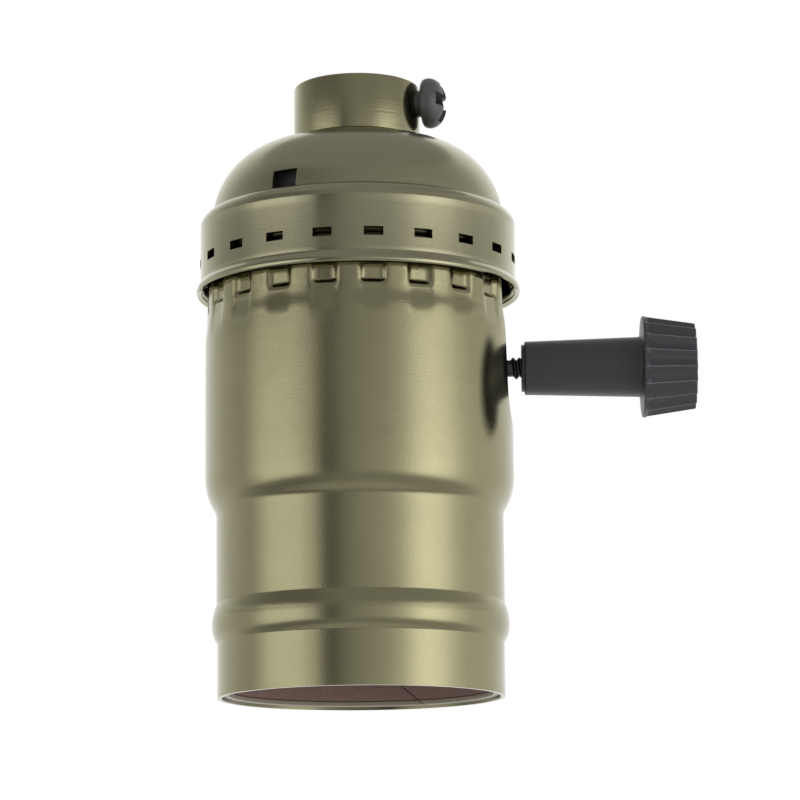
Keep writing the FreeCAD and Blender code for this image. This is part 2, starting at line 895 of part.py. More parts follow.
def make_spindle():
    """Steel spindle with a groove for its clip."""
    body = rod(spindle_radius, -chamber_back - spindle_tail, spindle_reach, axis_height)
    groove_start = clip_end - clip_thickness - rotor_clearance
    groove_end = clip_end + rotor_clearance
    groove = rod(spindle_radius + sheet, groove_start, groove_end, axis_height)
    core = rod(spindle_radius - clip_groove_depth, groove_start, groove_end, axis_height)
    body = body.cut(groove.cut(core))
    neck_end = knob_start - spindle_neck_setback
    relief = rod(spindle_radius + sheet, boss_reach, neck_end, axis_height)
    return body.cut(relief.cut(rod(spindle_neck_radius, boss_reach, neck_end, axis_height)))


def make_clip():
    """Spring clip in the spindle's groove, inside the chamber's end wall."""
    start = clip_end - clip_thickness
    hole = rod(spindle_radius - clip_groove_depth + rotor_clearance, start, clip_end, axis_height)
    clip = rod(clip_radius, start, clip_end, axis_height).cut(hole)
    mouth = block(
        (start - sheet, clip_end + sheet),
        (-clip_opening / 2, clip_opening / 2),
        (axis_height, axis_height + 2 * clip_radius),
    )
    return clip.cut(mouth)


def make_detent_spring():
    """Flat spring hung from the cover, bearing on a flat of the cam."""
    bearing = axis_height + cam_flat + detent_gap
    middle = (rotor_start + drum_start) / 2
    width = (-detent_width / 2, detent_width / 2)
    foot = block((middle, middle + leaf_thickness), width, (bearing, chamber_top))
    blade = block(
        (rotor_start, drum_start - leaf_thickness), width, (bearing, bearing + leaf_thickness)
    )
    return fused([foot, blade])


def make_knob():
    """Moulded knob: tapered sleeve and fluted, tapered head."""
    sleeve_end = knob_start + sleeve_length
    head_end = sleeve_end + head_length
    section = [
        (knob_start, sleeve_inner_radius - sleeve_chamfer),
        (knob_start + sleeve_chamfer, sleeve_inner_radius),
        (sleeve_end, sleeve_outer_radius),
        (sleeve_end, head_inner_radius - head_fillet),
        (sleeve_end + head_fillet, head_inner_radius),
        (sleeve_end + head_rim, head_inner_radius - rim_taper),
        (head_end - head_fillet, head_outer_radius),
        (head_end, head_outer_radius - head_fillet),
        (head_end, 0),
        (knob_start, 0),
        (knob_start, sleeve_inner_radius - sleeve_chamfer),
    ]
    face = Part.Face(Part.Wire(lines(section)))
    knob = face.revolve(centre, outward, full_turn)
    flute_radius = math.pi * head_inner_radius / flute_count
    lean = math.degrees(math.atan2(head_inner_radius - head_outer_radius, head_length - head_rim))
    flutes = []
    for step in range(flute_count):
        flute = Part.makeCylinder(flute_radius, 2 * head_length, centre, outward)
        flute.rotate(centre, Vector(0, 1, 0), lean)
        rise = head_inner_radius + flute_radius - flute_depth
        flute.translate(Vector(sleeve_end + head_rim, 0, rise))
        flute.rotate(centre, outward, full_turn / flute_count * step)
        flutes.append(flute)
    knob = knob.cut(Part.makeCompound(flutes))
    knob.translate(Vector(0, 0, axis_height))
    bore = rod(
        spindle_radius + knob_bore_clearance,
        knob_start - sheet,
        spindle_reach + sheet,
        axis_height,
    )
    return knob.cut(bore)


def main():
    """Make every piece and write one file for each."""
    os.makedirs("parts", exist_ok=True)
    save("body_shell", make_body_shell())
    save("cap", make_cap())
    save("neck_ferrule", make_neck())
    save("set_screw", make_set_screw())
    save("cap_liner", make_cap_liner())
    save("body_liner", make_body_liner())
    save("lamp_screw_shell", make_screw_shell())
    save("insulating_disc", make_insulating_disc())
    save("switch_housing", make_switch_housing())
    save("switch_cover", make_switch_cover())
    save("line_leaf", make_line_leaf())
    save("lamp_leaf", make_lamp_leaf())
    save("live_terminal", make_terminal(1))
    save("neutral_terminal", make_terminal(-1))
    save("terminal_screws", make_terminal_screws())
    save("neutral_strap", make_neutral_strap())
    save("core_rivets", make_rivets())
    save("contact_rivet", make_contact_rivet())
    save("centre_contact", make_centre_contact())
    save("switch_rotor", make_rotor())
    save("rotor_contact", make_rotor_contact())
    save("spindle", make_spindle())
    save("spindle_clip", make_clip())
    save("detent_spring", make_detent_spring())
    save("knob", make_knob())


main()
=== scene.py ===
import json
import math

import bmesh
import bpy
from bpy.props import FloatProperty, FloatVectorProperty, IntProperty, PointerProperty
from mathutils import Matrix, Vector


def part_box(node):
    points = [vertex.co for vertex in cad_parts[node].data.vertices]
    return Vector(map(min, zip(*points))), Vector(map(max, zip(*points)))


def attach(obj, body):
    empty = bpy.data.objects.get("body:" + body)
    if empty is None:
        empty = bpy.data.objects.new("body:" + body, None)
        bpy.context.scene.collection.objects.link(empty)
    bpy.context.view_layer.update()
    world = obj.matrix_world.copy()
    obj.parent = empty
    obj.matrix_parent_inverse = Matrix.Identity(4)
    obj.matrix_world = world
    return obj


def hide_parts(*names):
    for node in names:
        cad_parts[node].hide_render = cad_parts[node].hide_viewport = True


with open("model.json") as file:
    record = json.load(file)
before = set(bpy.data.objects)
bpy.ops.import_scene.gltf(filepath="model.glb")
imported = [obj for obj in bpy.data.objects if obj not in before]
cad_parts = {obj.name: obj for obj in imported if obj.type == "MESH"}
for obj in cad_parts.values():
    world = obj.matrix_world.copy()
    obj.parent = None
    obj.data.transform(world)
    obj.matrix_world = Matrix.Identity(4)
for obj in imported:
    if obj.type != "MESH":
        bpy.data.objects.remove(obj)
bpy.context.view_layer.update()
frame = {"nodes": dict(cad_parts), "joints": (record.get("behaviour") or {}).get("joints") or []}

bl_info = {
    "name": "Turn-knob lamp holder",
    "version": (1, 0, 0),
    "blender": (4, 5, 0),
    "location": "View3D > Sidebar > Lamp holder",
    "description": "Builds the visible pieces and finishes of a turn-knob lamp holder",
    "category": "Add Mesh",
}

MM = 0.001
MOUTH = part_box("body_shell")[0].z
SHELL_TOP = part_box("body_shell")[1].z - MOUTH
CAP_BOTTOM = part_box("cap")[0].z - MOUTH
CAP_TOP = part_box("cap")[1].z - MOUTH
NECK_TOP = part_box("neck_ferrule")[1].z - MOUTH
BODY_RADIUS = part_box("body_shell")[1].y
LIP_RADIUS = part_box("cap")[1].y
LINER_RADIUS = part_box("body_liner")[1].y
THREAD_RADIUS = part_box("lamp_screw_shell")[1].y
THREAD_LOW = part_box("lamp_screw_shell")[0].z - MOUTH
THREAD_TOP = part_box("lamp_screw_shell")[1].z - MOUTH
KNOB_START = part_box("knob")[0].x
KNOB_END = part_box("knob")[1].x
KNOB_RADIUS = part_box("knob")[1].y
SPINDLE_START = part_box("spindle")[0].x
SPINDLE_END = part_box("spindle")[1].x
JOINTS = {joint["name"]: joint for joint in frame["joints"]}
AXIS_HEIGHT = JOINTS["knob_turn"]["pos_m"][2] - MOUTH
SCREW_WAY = Vector(JOINTS["screw_travel"]["axis"])
SHARP = math.radians(32)
CAP_SHARP = math.radians(20)
RAW_EDGE = math.radians(50)
FULL_TURN = 2 * math.pi
PITCH_COLUMNS = 20
FLUTE_COLUMNS = 12
LINER_COLUMNS = 240
THREAD_STEPS = 48
SPINDLE_STEPS = 36
# Small steps that keep the faces of two parts from lying on each other
HAIR = 0.03 * MM
SLACK = 0.05 * MM
TINY = 1e-8
WHITE = (1.0, 1.0, 1.0, 1.0)
PALE = (0.9, 0.9, 0.9, 1.0)
PALE_EDGE = (0.6, 0.57, 0.5, 1.0)
# Tones of the painted band of light at the liner's foot
DARK_SAND = (0.24, 0.19, 0.14, 1.0)
LIGHT_SAND = (0.5, 0.42, 0.33, 1.0)
# Glow of the round wall by direction in degrees, and of its strips by height in millimetres
WALL_STRIPS = (
    (-180, 1.05), (-143, 0.93), (-125, 0.8), (-108, 0.66), (-95, 0.62), (-86, 0.85), (-77, 1.25),
    (-62, 1.35), (-48, 1.3), (-41, 1.0), (-34, 0.75), (-27, 0.2), (-18, 0.25), (-10, 0.42), (0, 0.52),
    (20, 0.7), (30, 0.95), (38, 1.35), (46, 1.85), (56, 2.0), (68, 1.75), (78, 1.25), (92, 0.9),
    (115, 0.88), (143, 1.0), (180, 1.05),
)
EVEN_STRIPS = (
    (-180, 1.3), (-140, 0.9), (-115, 0.5), (-80, 0.27), (-45, 0.26), (-20, 0.36), (0, 0.42), (30, 0.43),
    (60, 0.46), (90, 0.5), (115, 0.65), (140, 1.1), (180, 1.3),
)
STRIP_RISE = (
    (-900, 0.0), (-520, 0.05), (-380, 0.9), (-250, 1.0), (268, 1.0), (279, 0.0), (302, 0.0),
    (322, 0.55), (340, 1.0), (398, 1.0), (430, 0.0),
)


def length(name, description, default):
    """Length property in metres."""
    return FloatProperty(
        name=name, description=description, default=default, min=0.0, unit="LENGTH", precision=5
    )


def angle(name, description, default):
    """Angle property shown in degrees."""
    return FloatProperty(
        name=name, description=description, default=math.radians(default), subtype="ANGLE"
    )


def share(name, description, default):
    """Share between nothing and all."""
    return FloatProperty(
        name=name, description=description, default=default, min=0.0, max=1.0, subtype="FACTOR"
    )


def number(name, description, default, low=0.0):
    """Plain number property."""
    return FloatProperty(name=name, description=description, default=default, min=low)


def count(name, description, default):
    """Whole number property."""
    return IntProperty(name=name, description=description, default=default)


def colour(name, description, default):
    """Colour property."""
    return FloatVectorProperty(
        name=name, description=description, default=default, min=0.0, max=1.0, size=3, subtype="COLOR"
    )


class ShellSizes(bpy.types.PropertyGroup):
    sheet: length("Sheet", "Thickness of the pressed sheet", 0.5 * MM)
    mouth_radius: length("Mouth radius", "Outer radius at the open mouth", 16.0 * MM)
    lower_radius: length("Lower radius", "Outer radius between bead and shoulder", 16.1 * MM)
    collar_step: length("Collar step", "How much the collar is smaller than the body", 0.2 * MM)
    bead_low: length("Bead start", "Height where the bead starts", 5.95 * MM)
    bead_crest: length("Bead crest", "Height of the bead's crest", 8.0 * MM)
    bead_top: length("Bead end", "Height where the bead ends", 10.5 * MM)
    bead_rise: length("Bead rise", "How far the bead stands out", 0.6 * MM)
    shoulder_low: length("Shoulder start", "Height where the shoulder starts", 20.1 * MM)
    shoulder_top: length("Shoulder end", "Height where the shoulder ends", 24.6 * MM)
    crimp_low: length("Crimp start", "Height where the wall starts to draw in", 40.3 * MM)
    collar_low: length("Collar start", "Height where the straight collar starts", 43.8 * MM)
    pitch_count: count("Pockets", "Pockets round the collar", 20)
    pocket_phase: angle("Pocket phase", "Angle of the first pocket from the knob", 6.95)
    pocket_width: length("Pocket width", "Width of a pressed pocket", 2.6 * MM)
    pocket_depth: length("Pocket depth", "Depth of a pressed pocket", 0.5 * MM)
    pocket_height: length("Pocket height", "Height of a pressed pocket", 5.4 * MM)
    pocket_edge: length("Pocket edge", "Width of the edge at the pocket's foot", 0.38 * MM)
    pocket_flank: length("Pocket flank", "Width of the rounded flank beside a pocket", 0.9 * MM)
    scallop_depth: length("Scallop depth", "Depth of the soft hollow under a pocket", 0.2 * MM)
    scallop_length: length("Scallop length", "How far the hollow runs down", 4.6 * MM)
    bead_corner: share("Bead corner", "How tight the bead's creases are", 0.1)
    shoulder_corner: share("Shoulder corner", "How tight the shoulder's lower crease is", 0.25)
    notch_radius: length("Notch radius", "Radius of the notch's round bottom", 4.5 * MM)
    notch_drop: length("Notch drop", "Notch centre below the spindle's axis", 2.6 * MM)
    notch_splay: length("Notch splay", "How much wider the notch is at its top", 2.4 * MM)
    raw_edge: length("Raw edge", "Rounding of the sheet's raw edges", 0.07 * MM)


class CapSizes(bpy.types.PropertyGroup):
    lip_rise: length("Lip rise", "Lower edge of the lip above the lowest place", 0.7 * MM)
    lip_edge: length("Lip edge", "Height of the lip's rounded edge", 0.35 * MM)
    lip_run: length("Lip run", "Height over which the lip flares", 1.4 * MM)
    lip_flare: length("Lip flare", "How far the lip stands out from the band", 0.42 * MM)
    band_top: length("Band top", "Upper end of the slotted band above the lowest place", 8.3 * MM)
    shoulder_height: length("Shoulder height", "Height from band to crease", 1.65 * MM)
    shoulder_step: length("Shoulder step", "How much the crease is smaller than the band", 1.47 * MM)
    haunch_radius: length("Haunch radius", "Radius of the dome's side", 9.0 * MM)
    crown_radius: length("Crown radius", "Radius of the dome's top", 35.0 * MM)
    hole_radius: length("Hole radius", "Radius of the hole for the neck", 6.2 * MM)
    seat_radius: length("Seat radius", "Radius of the neck's seat", 7.4 * MM)
    slot_width: length("Slot width", "Width of a slot", 2.15 * MM)
    slot_height: length("Slot height", "Height of a slot", 1.0 * MM)
    slot_rise: length("Slot rise", "Slot centre above the cap's lower edge", 4.1 * MM)
    window_rise: length("Window rise", "Lower edge of the window above the crease", 0.03 * MM)
    window_height: length("Window height", "Height of the window", 2.0 * MM)
    window_width: length("Window width", "Width of the window", 3.0 * MM)
    window_angle: angle("Window angle", "Where the window lies", -118.1)
    raw_edge: length("Raw edge", "Rounding of the sheet's raw edges", 0.06 * MM)


class NeckSizes(bpy.types.PropertyGroup):
    radius: length("Radius", "Outer radius of the neck", 7.2 * MM)
    bore_radius: length("Bore", "Radius inside the thread", 4.46 * MM)
    thread_depth: length("Thread depth", "Depth of the thread", 0.45 * MM)
    thread_pitch: length("Thread pitch", "Rise of one turn", 1.0 * MM)
    edge: length("Edge", "Rounding of the turned edges", 0.25 * MM)
    screw_radius: length("Screw radius", "Radius of the set screw's shank", 1.5 * MM)
    screw_drop: length("Screw drop", "Screw axis below the neck's top", 2.2 * MM)
    screw_start: length("Screw tip", "Distance of the tip from the neck's axis", 4.71 * MM)
    head_start: length("Head start", "Distance of the head from the neck's axis", 7.8 * MM)
    head_height: length("Head height", "Thickness of the screw's head", 2.6 * MM)
    head_radius: length("Head radius", "Radius of the screw's head", 2.87 * MM)
    head_rim: length("Head rim", "Height of the screw head's rounded rim", 0.7 * MM)
    recess_length: length("Recess length", "Length of the cross recess", 4.6 * MM)
    recess_width: length("Recess width", "Width of the cross recess", 1.45 * MM)
    recess_depth: length("Recess depth", "Depth of the cross recess", 1.5 * MM)


class KnobSizes(bpy.types.PropertyGroup):
    sleeve_length: length("Sleeve length", "Length of the smooth sleeve", 13.6 * MM)
    end_setback: length("End setback", "How far the end face lies inside the knob's place", 0.5 * MM)
    sleeve_inner: length("Inner sleeve radius", "Radius at the sleeve's inner end", 3.02 * MM)
    sleeve_outer: length("Outer sleeve radius", "Radius where the sleeve meets the head", 3.4 * MM)
    step: length("Step", "Size of the step at the sleeve's inner end", 0.35 * MM)
    head_outer: length("Head end radius", "Radius at the knob's outer end", 4.9 * MM)
    rim: length("Rim", "Width of the plain rim of the head", 0.4 * MM)
    rounding: length("Rounding", "Rounding of the head's edges", 0.18 * MM)
    flutes: count("Flutes", "Flutes round the head", 18)
    flute_depth: length("Flute depth", "Depth of a flute", 0.45 * MM)
    spindle_radius: length("Spindle radius", "Radius over the spindle's thread", 1.25 * MM)
    spindle_core: length("Spindle core", "Radius at the root of the thread", 0.95 * MM)
    spindle_pitch: length("Spindle pitch", "Rise of one turn of the spindle's thread", 0.7 * MM)
    neck_start: length("Spindle neck start", "Where the slim part of the spindle starts", 15.9 * MM)
    neck_end: length("Spindle neck end", "Where the slim part of the spindle ends", 17.1 * MM)
    groove_start: length("Groove start", "Where the clip's groove starts", 8.68 * MM)
    groove_end: length("Groove end", "Where the clip's groove ends", 9.32 * MM)
    fillet: length("Fillet", "Rounding between sleeve and head", 0.4 * MM)


class InsideSizes(bpy.types.PropertyGroup):
    liner_wall: length("Liner wall", "Thickness of the fibre liner", 0.7 * MM)
    seam_angle: angle("Seam angle", "Where the liner's seam starts", 62.0)
    seam_gap: length("Seam gap", "Opening of the liner's seam", 0.2 * MM)
    seam_lean: angle("Seam lean", "Lean of the seam at the cut corner", 52.0)
    seam_corner: length("Seam corner", "Height of the leaning part of the seam", 3.0 * MM)
    liner_drop: length("Liner drop", "How far the liner's foot hangs below its place", 0.45 * MM)
    # The pale band is painted light at the liner's foot, with a painted shadow line along its top.
    pale_band: length("Pale band", "Height of the rubbed band at the liner's foot", 0.5 * MM)
    notch_margin: length("Notch margin", "How much wider the liner's notch is", 0.9 * MM)
    thread_sheet: length("Thread sheet", "Thickness of the screw shell", 0.35 * MM)
    thread_pitch: length("Lamp thread pitch", "Rise of one turn of the lamp thread", 3.629 * MM)
    thread_depth: length("Lamp thread depth", "Depth of the rolled lamp thread", 1.0 * MM)
    thread_turns: count("Lamp thread turns", "Turns of the lamp thread", 5)
    thread_sink: length("Lamp thread sink", "How far the thread's crests lie below the wall", 0.15 * MM)
    thread_fade: length("Lamp thread fade", "Height over which the thread rises and ends", 1.2 * MM)
    mouth_height: length("Plain mouth", "Height of the plain mouth of the screw shell", 2.5 * MM)
    base_hole: length("Base hole", "Radius of the hole in the screw shell's base", 6.0 * MM)
    liner_edge: length("Liner edge", "Rounding of the liner's edges", 0.08 * MM)
    thread_edge: length("Screw shell edge", "Rounding of the screw shell's edges", 0.06 * MM)


class FinishSettings(bpy.types.PropertyGroup):
    bronze: colour("Bronze", "Colour of the bronze sheet", (0.335, 0.315, 0.185))
    bronze_dark: colour("Dark bronze", "Colour in the grain of the bronze", (0.27, 0.255, 0.15))
    cap_bronze: colour("Cap bronze", "Colour of the matt cap", (0.325, 0.31, 0.20))
    bronze_roughness: share("Bronze roughness", "Roughness of the satin sheet", 0.125)
    moulding: colour("Moulding", "Colour of the knob", (0.046, 0.047, 0.052))
    blackened: colour("Blackened steel", "Colour of the set screw", (0.1, 0.1, 0.103))
    fibre: colour("Fibre", "Colour of the fibre liner", (0.275, 0.178, 0.148))
    dark_fibre: colour("Dark fibre", "Colour of the cap's liner", (0.085, 0.085, 0.09))
    insulator: colour("Insulator", "Colour of the black mouldings", (0.018, 0.018, 0.02))
    pale_insulator: colour("Pale insulator", "Colour of the rotor", (0.55, 0.50, 0.42))
    brass: colour("Brass", "Colour of the contacts", (0.72, 0.52, 0.22))
    steel: colour("Steel", "Colour of screws and spindle", (0.50, 0.50, 0.50))
    thread_metal: colour("Thread metal", "Colour of the screw shell", (0.70, 0.70, 0.69))


class StageSettings(bpy.types.PropertyGroup):
    camera_distance: length("Camera distance", "Level distance from the axis", 356.84 * MM)
    camera_drop: length("Camera drop", "Camera below the mouth", 31.93 * MM)
    camera_azimuth: angle("Camera azimuth", "Camera turned round the object", 1.5)
    camera_pitch: angle("Camera pitch", "Upward tilt of the camera", 10.414)
    camera_yaw: angle("Camera yaw", "Turn of the camera away from the axis", 0.741)
    camera_roll: angle("Camera roll", "Lean of the picture", 0.58)
    focal_length: number("Focal length", "Lens length in millimetres", 144.43, 1.0)
    floor_drop: length("Floor drop", "Floor below the mouth", 900.0 * MM)
    floor_size: length("Floor size", "Half the width of the floor", 30000.0 * MM)
    plain_start: share("Plain start", "Where the floor starts to turn plain, by the wall's radius", 0.3)
    plain_end: share("Plain end", "Where the floor is all plain, by the wall's radius", 0.9)
    world_light: number("World light", "Soft light from all round", 0.5)
    wall_distance: length("Wall distance", "Radius of the round wall of light", 1100.0 * MM)
    wall_height: length("Wall height", "Height of the round wall above the mouth", 1200.0 * MM)
    wall_glow: number("Wall glow", "Strength of the wall's strips", 1.0)
    even_glow: number("Even glow", "Strength of the wall above its strips", 1.0)
    top_glow: number("Top glow", "Glow of the lid of the wall", 0.42)


def smooth_step(value):
    """Zero below 0, one above 1 and a soft rise between."""
    value = min(max(value, 0.0), 1.0)
    return value * value * (3.0 - 2.0 * value)


def upright_centre(tip, joint):
    """Centre of the arc that is upright at its tip and passes through the joint."""
    across = joint[0] - tip[0]
    return (tip[0] + (across ** 2 + (joint[1] - tip[1]) ** 2) / (2 * across), tip[1])


class Outline(list):
    """Outline of a turned form, as points of radius and place along its axis."""

    def line(self, end, steps):
        """Go straight to a point in even steps."""
        start = self[-1]
        for step in range(1, steps + 1):
            self.append(tuple(start[i] + (end[i] - start[i]) * step / steps for i in (0, 1)))

    def arc(self, middle, end, steps):
        """Go to a point along the shorter arc about a centre."""
        start = self[-1]
        reach = math.hypot(start[0] - middle[0], start[1] - middle[1])
        first = math.atan2(start[1] - middle[1], start[0] - middle[0])
        last = math.atan2(end[1] - middle[1], end[0] - middle[0])
        sweep = (last - first + math.pi) % FULL_TURN - math.pi
        for step in range(1, steps + 1):
            at = first + sweep * step / steps
            self.append((middle[0] + reach * math.cos(at), middle[1] + reach * math.sin(at)))

    def curve(self, end, steps, part=0.5):
        """Go to a point through two tangent arcs between upright walls."""
        start = self[-1]
        joint = tuple(start[i] + (end[i] - start[i]) * part for i in (0, 1))
        self.arc(upright_centre(start, joint), joint, steps)
        self.arc(upright_centre(end, joint), end, steps)


def lathe(points, steps, axis=(0, 0, 1), closed=False, start=0.0):
    """Mesh spun from an outline about an axis through the origin."""
    bm = bmesh.new()
    verts = []
    for radius, along in points:
        place = (radius, 0, along) if axis[2] == 1 else (along, 0, radius)
        verts.append(bm.verts.new(place))
    for a, b in zip(verts, verts[1:]):
        bm.edges.new((a, b))
    if closed:
        bm.edges.new((verts[-1], verts[0]))
    if start:
        turn(bm, Matrix.Rotation(start, 3, Vector(axis)))
    bmesh.ops.spin(
        bm, geom=bm.verts[:] + bm.edges[:], cent=(0, 0, 0), axis=axis, dvec=(0, 0, 0),
        angle=FULL_TURN, steps=steps, use_merge=True, use_duplicate=False,
    )
    bmesh.ops.remove_doubles(bm, verts=bm.verts, dist=1e-7)
    bmesh.ops.recalc_face_normals(bm, faces=bm.faces)
    return bm


def wind(section, axis, pitch, turns, steps):
    """Thread wound from a closed section about an axis through the origin."""
    bm = bmesh.new()
    bm.faces.new([bm.verts.new(point) for point in section])
    bmesh.ops.spin(
        bm, geom=bm.verts[:] + bm.edges[:] + bm.faces[:], cent=(0, 0, 0), axis=axis,
        dvec=[part * pitch / steps for part in axis], angle=FULL_TURN * turns, steps=steps * turns,
        use_merge=False, use_duplicate=False,
    )
    bmesh.ops.recalc_face_normals(bm, faces=bm.faces)
    return bm


def face_outwards(bm):
    """Point the faces of an open spun wall away from the upright axis."""
    widest = max(bm.faces, key=lambda face: face.calc_center_median().xy.length)
    if widest.normal.xy.dot(widest.calc_center_median().xy) < 0:
        bmesh.ops.reverse_faces(bm, faces=bm.faces)


def shift(bm, way):
    """Move a whole mesh."""
    bmesh.ops.translate(bm, verts=bm.verts, vec=way)


def turn(bm, matrix):
    """Turn a whole mesh about the origin."""
    bmesh.ops.rotate(bm, verts=bm.verts, cent=(0, 0, 0), matrix=matrix)


def add_object(name, bm, finish=None):
    """Object in the scene, made from a bmesh that is used up."""
    mesh = bpy.data.meshes.new(name)
    bm.to_mesh(mesh)
    bm.free()
    if finish:
        mesh.materials.append(finish)
    made = bpy.data.objects.new(name, mesh)
    bpy.context.scene.collection.objects.link(made)
    return made


def settle(bm, name, body, stands_for, finish, sharp=SHARP):
    """Turn a bmesh into a finished piece that rides on a body and stands for CAD nodes."""
    shift(bm, (0, 0, MOUTH))
    for face in bm.faces:
        face.smooth = True
    for edge in bm.edges:
        edge.smooth = len(edge.link_faces) == 2 and edge.calc_face_angle(math.pi) < sharp
    piece = add_object(name, bm, finishes[finish])
    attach(piece, body)
    if stands_for:
        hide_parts(*stands_for)
    return piece


def thicken(bm, thickness, rounding):
    """Give an open wall its thickness on the inner side and round its raw edges."""
    bm.normal_update()
    bmesh.ops.solidify(bm, geom=bm.faces[:], thickness=thickness)
    bmesh.ops.recalc_face_normals(bm, faces=bm.faces)
    edges = [
        edge for edge in bm.edges if len(edge.link_faces) == 2 and edge.calc_face_angle(0) > RAW_EDGE
    ]
    bmesh.ops.bevel(
        bm, geom=edges, offset=rounding, offset_type="OFFSET", segments=2,
        profile=0.5, affect="EDGES", clamp_overlap=True, material=-1,
    )


def carve(piece, bm_tool):
    """Cut a tool mesh out of a finished piece and keep the result as its mesh."""
    tool = add_object("carving_tool", bm_tool)
    tool_mesh = tool.data
    cut = piece.modifiers.new("carve", "BOOLEAN")
    cut.operation = "DIFFERENCE"
    cut.solver = "EXACT"
    cut.object = tool
    bpy.context.view_layer.update()
    shown = piece.evaluated_get(bpy.context.evaluated_depsgraph_get())
    carved = bpy.data.meshes.new_from_object(shown)
    piece.modifiers.remove(cut)
    old = piece.data
    carved.name = old.name
    piece.data = carved
    bpy.data.meshes.remove(old)
    bpy.data.objects.remove(tool)
    bpy.data.meshes.remove(tool_mesh)
    carved.set_sharp_from_angle(angle=SHARP)


def pitch_offset(at, phase, places):
    """Angle from the nearest of evenly spaced places."""
    pitch = FULL_TURN / places
    return (at - phase + pitch / 2) % pitch - pitch / 2


def polar(point):
    """Angle and radius of a point about the upright axis."""
    return math.atan2(point.y, point.x), math.hypot(point.x, point.y)


def put(vert, at, radius):
    """Place a vertex by angle and radius, at its own height."""
    vert.co.x = radius * math.cos(at)
    vert.co.y = radius * math.sin(at)


def cut_plane(bm, faces, point, normal):
    """Add edges where a plane crosses some faces."""
    edges = {edge for face in faces for edge in face.edges}
    verts = {vert for face in faces for vert in face.verts}
    bmesh.ops.bisect_plane(
        bm, geom=faces + list(edges) + list(verts), dist=TINY, plane_co=point, plane_no=normal
    )


def drop_faces(bm, test):
    """Delete the faces whose centre passes a test."""
    gone = [face for face in bm.faces if test(face.calc_center_median())]
    bmesh.ops.delete(bm, geom=gone, context="FACES")


def notch_outline(sizes, margin):
    """Corners of the spindle notch, across and up, from one top corner round to the other."""
    middle = AXIS_HEIGHT - sizes.notch_drop
    half = sizes.notch_radius + margin
    top = SHELL_TOP + sizes.sheet
    steps = 14
    points = [(-half - sizes.notch_splay, top)]
    for step in range(steps + 1):
        at = math.pi + math.pi * step / steps
        points.append((half * math.cos(at), middle + half * math.sin(at)))
    return points + [(half + sizes.notch_splay, top)]


def open_notch(bm, sizes, margin):
    """Cut the spindle notch, whose outline is convex, out of a thin wall on the +X side."""
    points = notch_outline(sizes, margin)
    sides = list(zip(points, points[1:]))
    low = min(height for across, height in points) - sizes.sheet
    reach = max(across for across, height in points) + sizes.sheet

    def near(middle):
        return middle.x > 0 and abs(middle.y) < reach and middle.z > low

    def inside(middle):
        return middle.x > 0 and all(
            (bx - ax) * (middle.z - az) - (bz - az) * (middle.y - ax) >= 0
            for (ax, az), (bx, bz) in sides
        )

    for (ax, az), (bx, bz) in sides:
        faces = [face for face in bm.faces if near(face.calc_center_median())]
        cut_plane(bm, faces, (0, ax, az), (0, bz - az, ax - bx))
    drop_faces(bm, inside)


class Wire:
    """A shader socket that takes part in arithmetic."""

    def __init__(self, recipe, socket):
        self.recipe = recipe
        self.socket = socket

    def maths(self, operation, first, second):
        return self.recipe.node("ShaderNodeMath", {"operation": operation}, {0: first, 1: second})[0]

    def __add__(self, other):
        return self.maths("ADD", self, other)

    def __radd__(self, other):
        return self.maths("ADD", other, self)

    def __sub__(self, other):
        return self.maths("SUBTRACT", self, other)

    def __rsub__(self, other):
        return self.maths("SUBTRACT", other, self)

    def __mul__(self, other):
        return self.maths("MULTIPLY", self, other)

    def __rmul__(self, other):
        return self.maths("MULTIPLY", other, self)

    def __truediv__(self, other):
        return self.maths("DIVIDE", self, other)

    def __pow__(self, other):
        return self.maths("POWER", self, other)


class Made:
    """A node whose outputs are read as wires, by name or number."""

    def __init__(self, recipe, node):
        self.recipe = recipe
        self.shader = node

    def __getitem__(self, output):
        return Wire(self.recipe, self.shader.outputs[output])


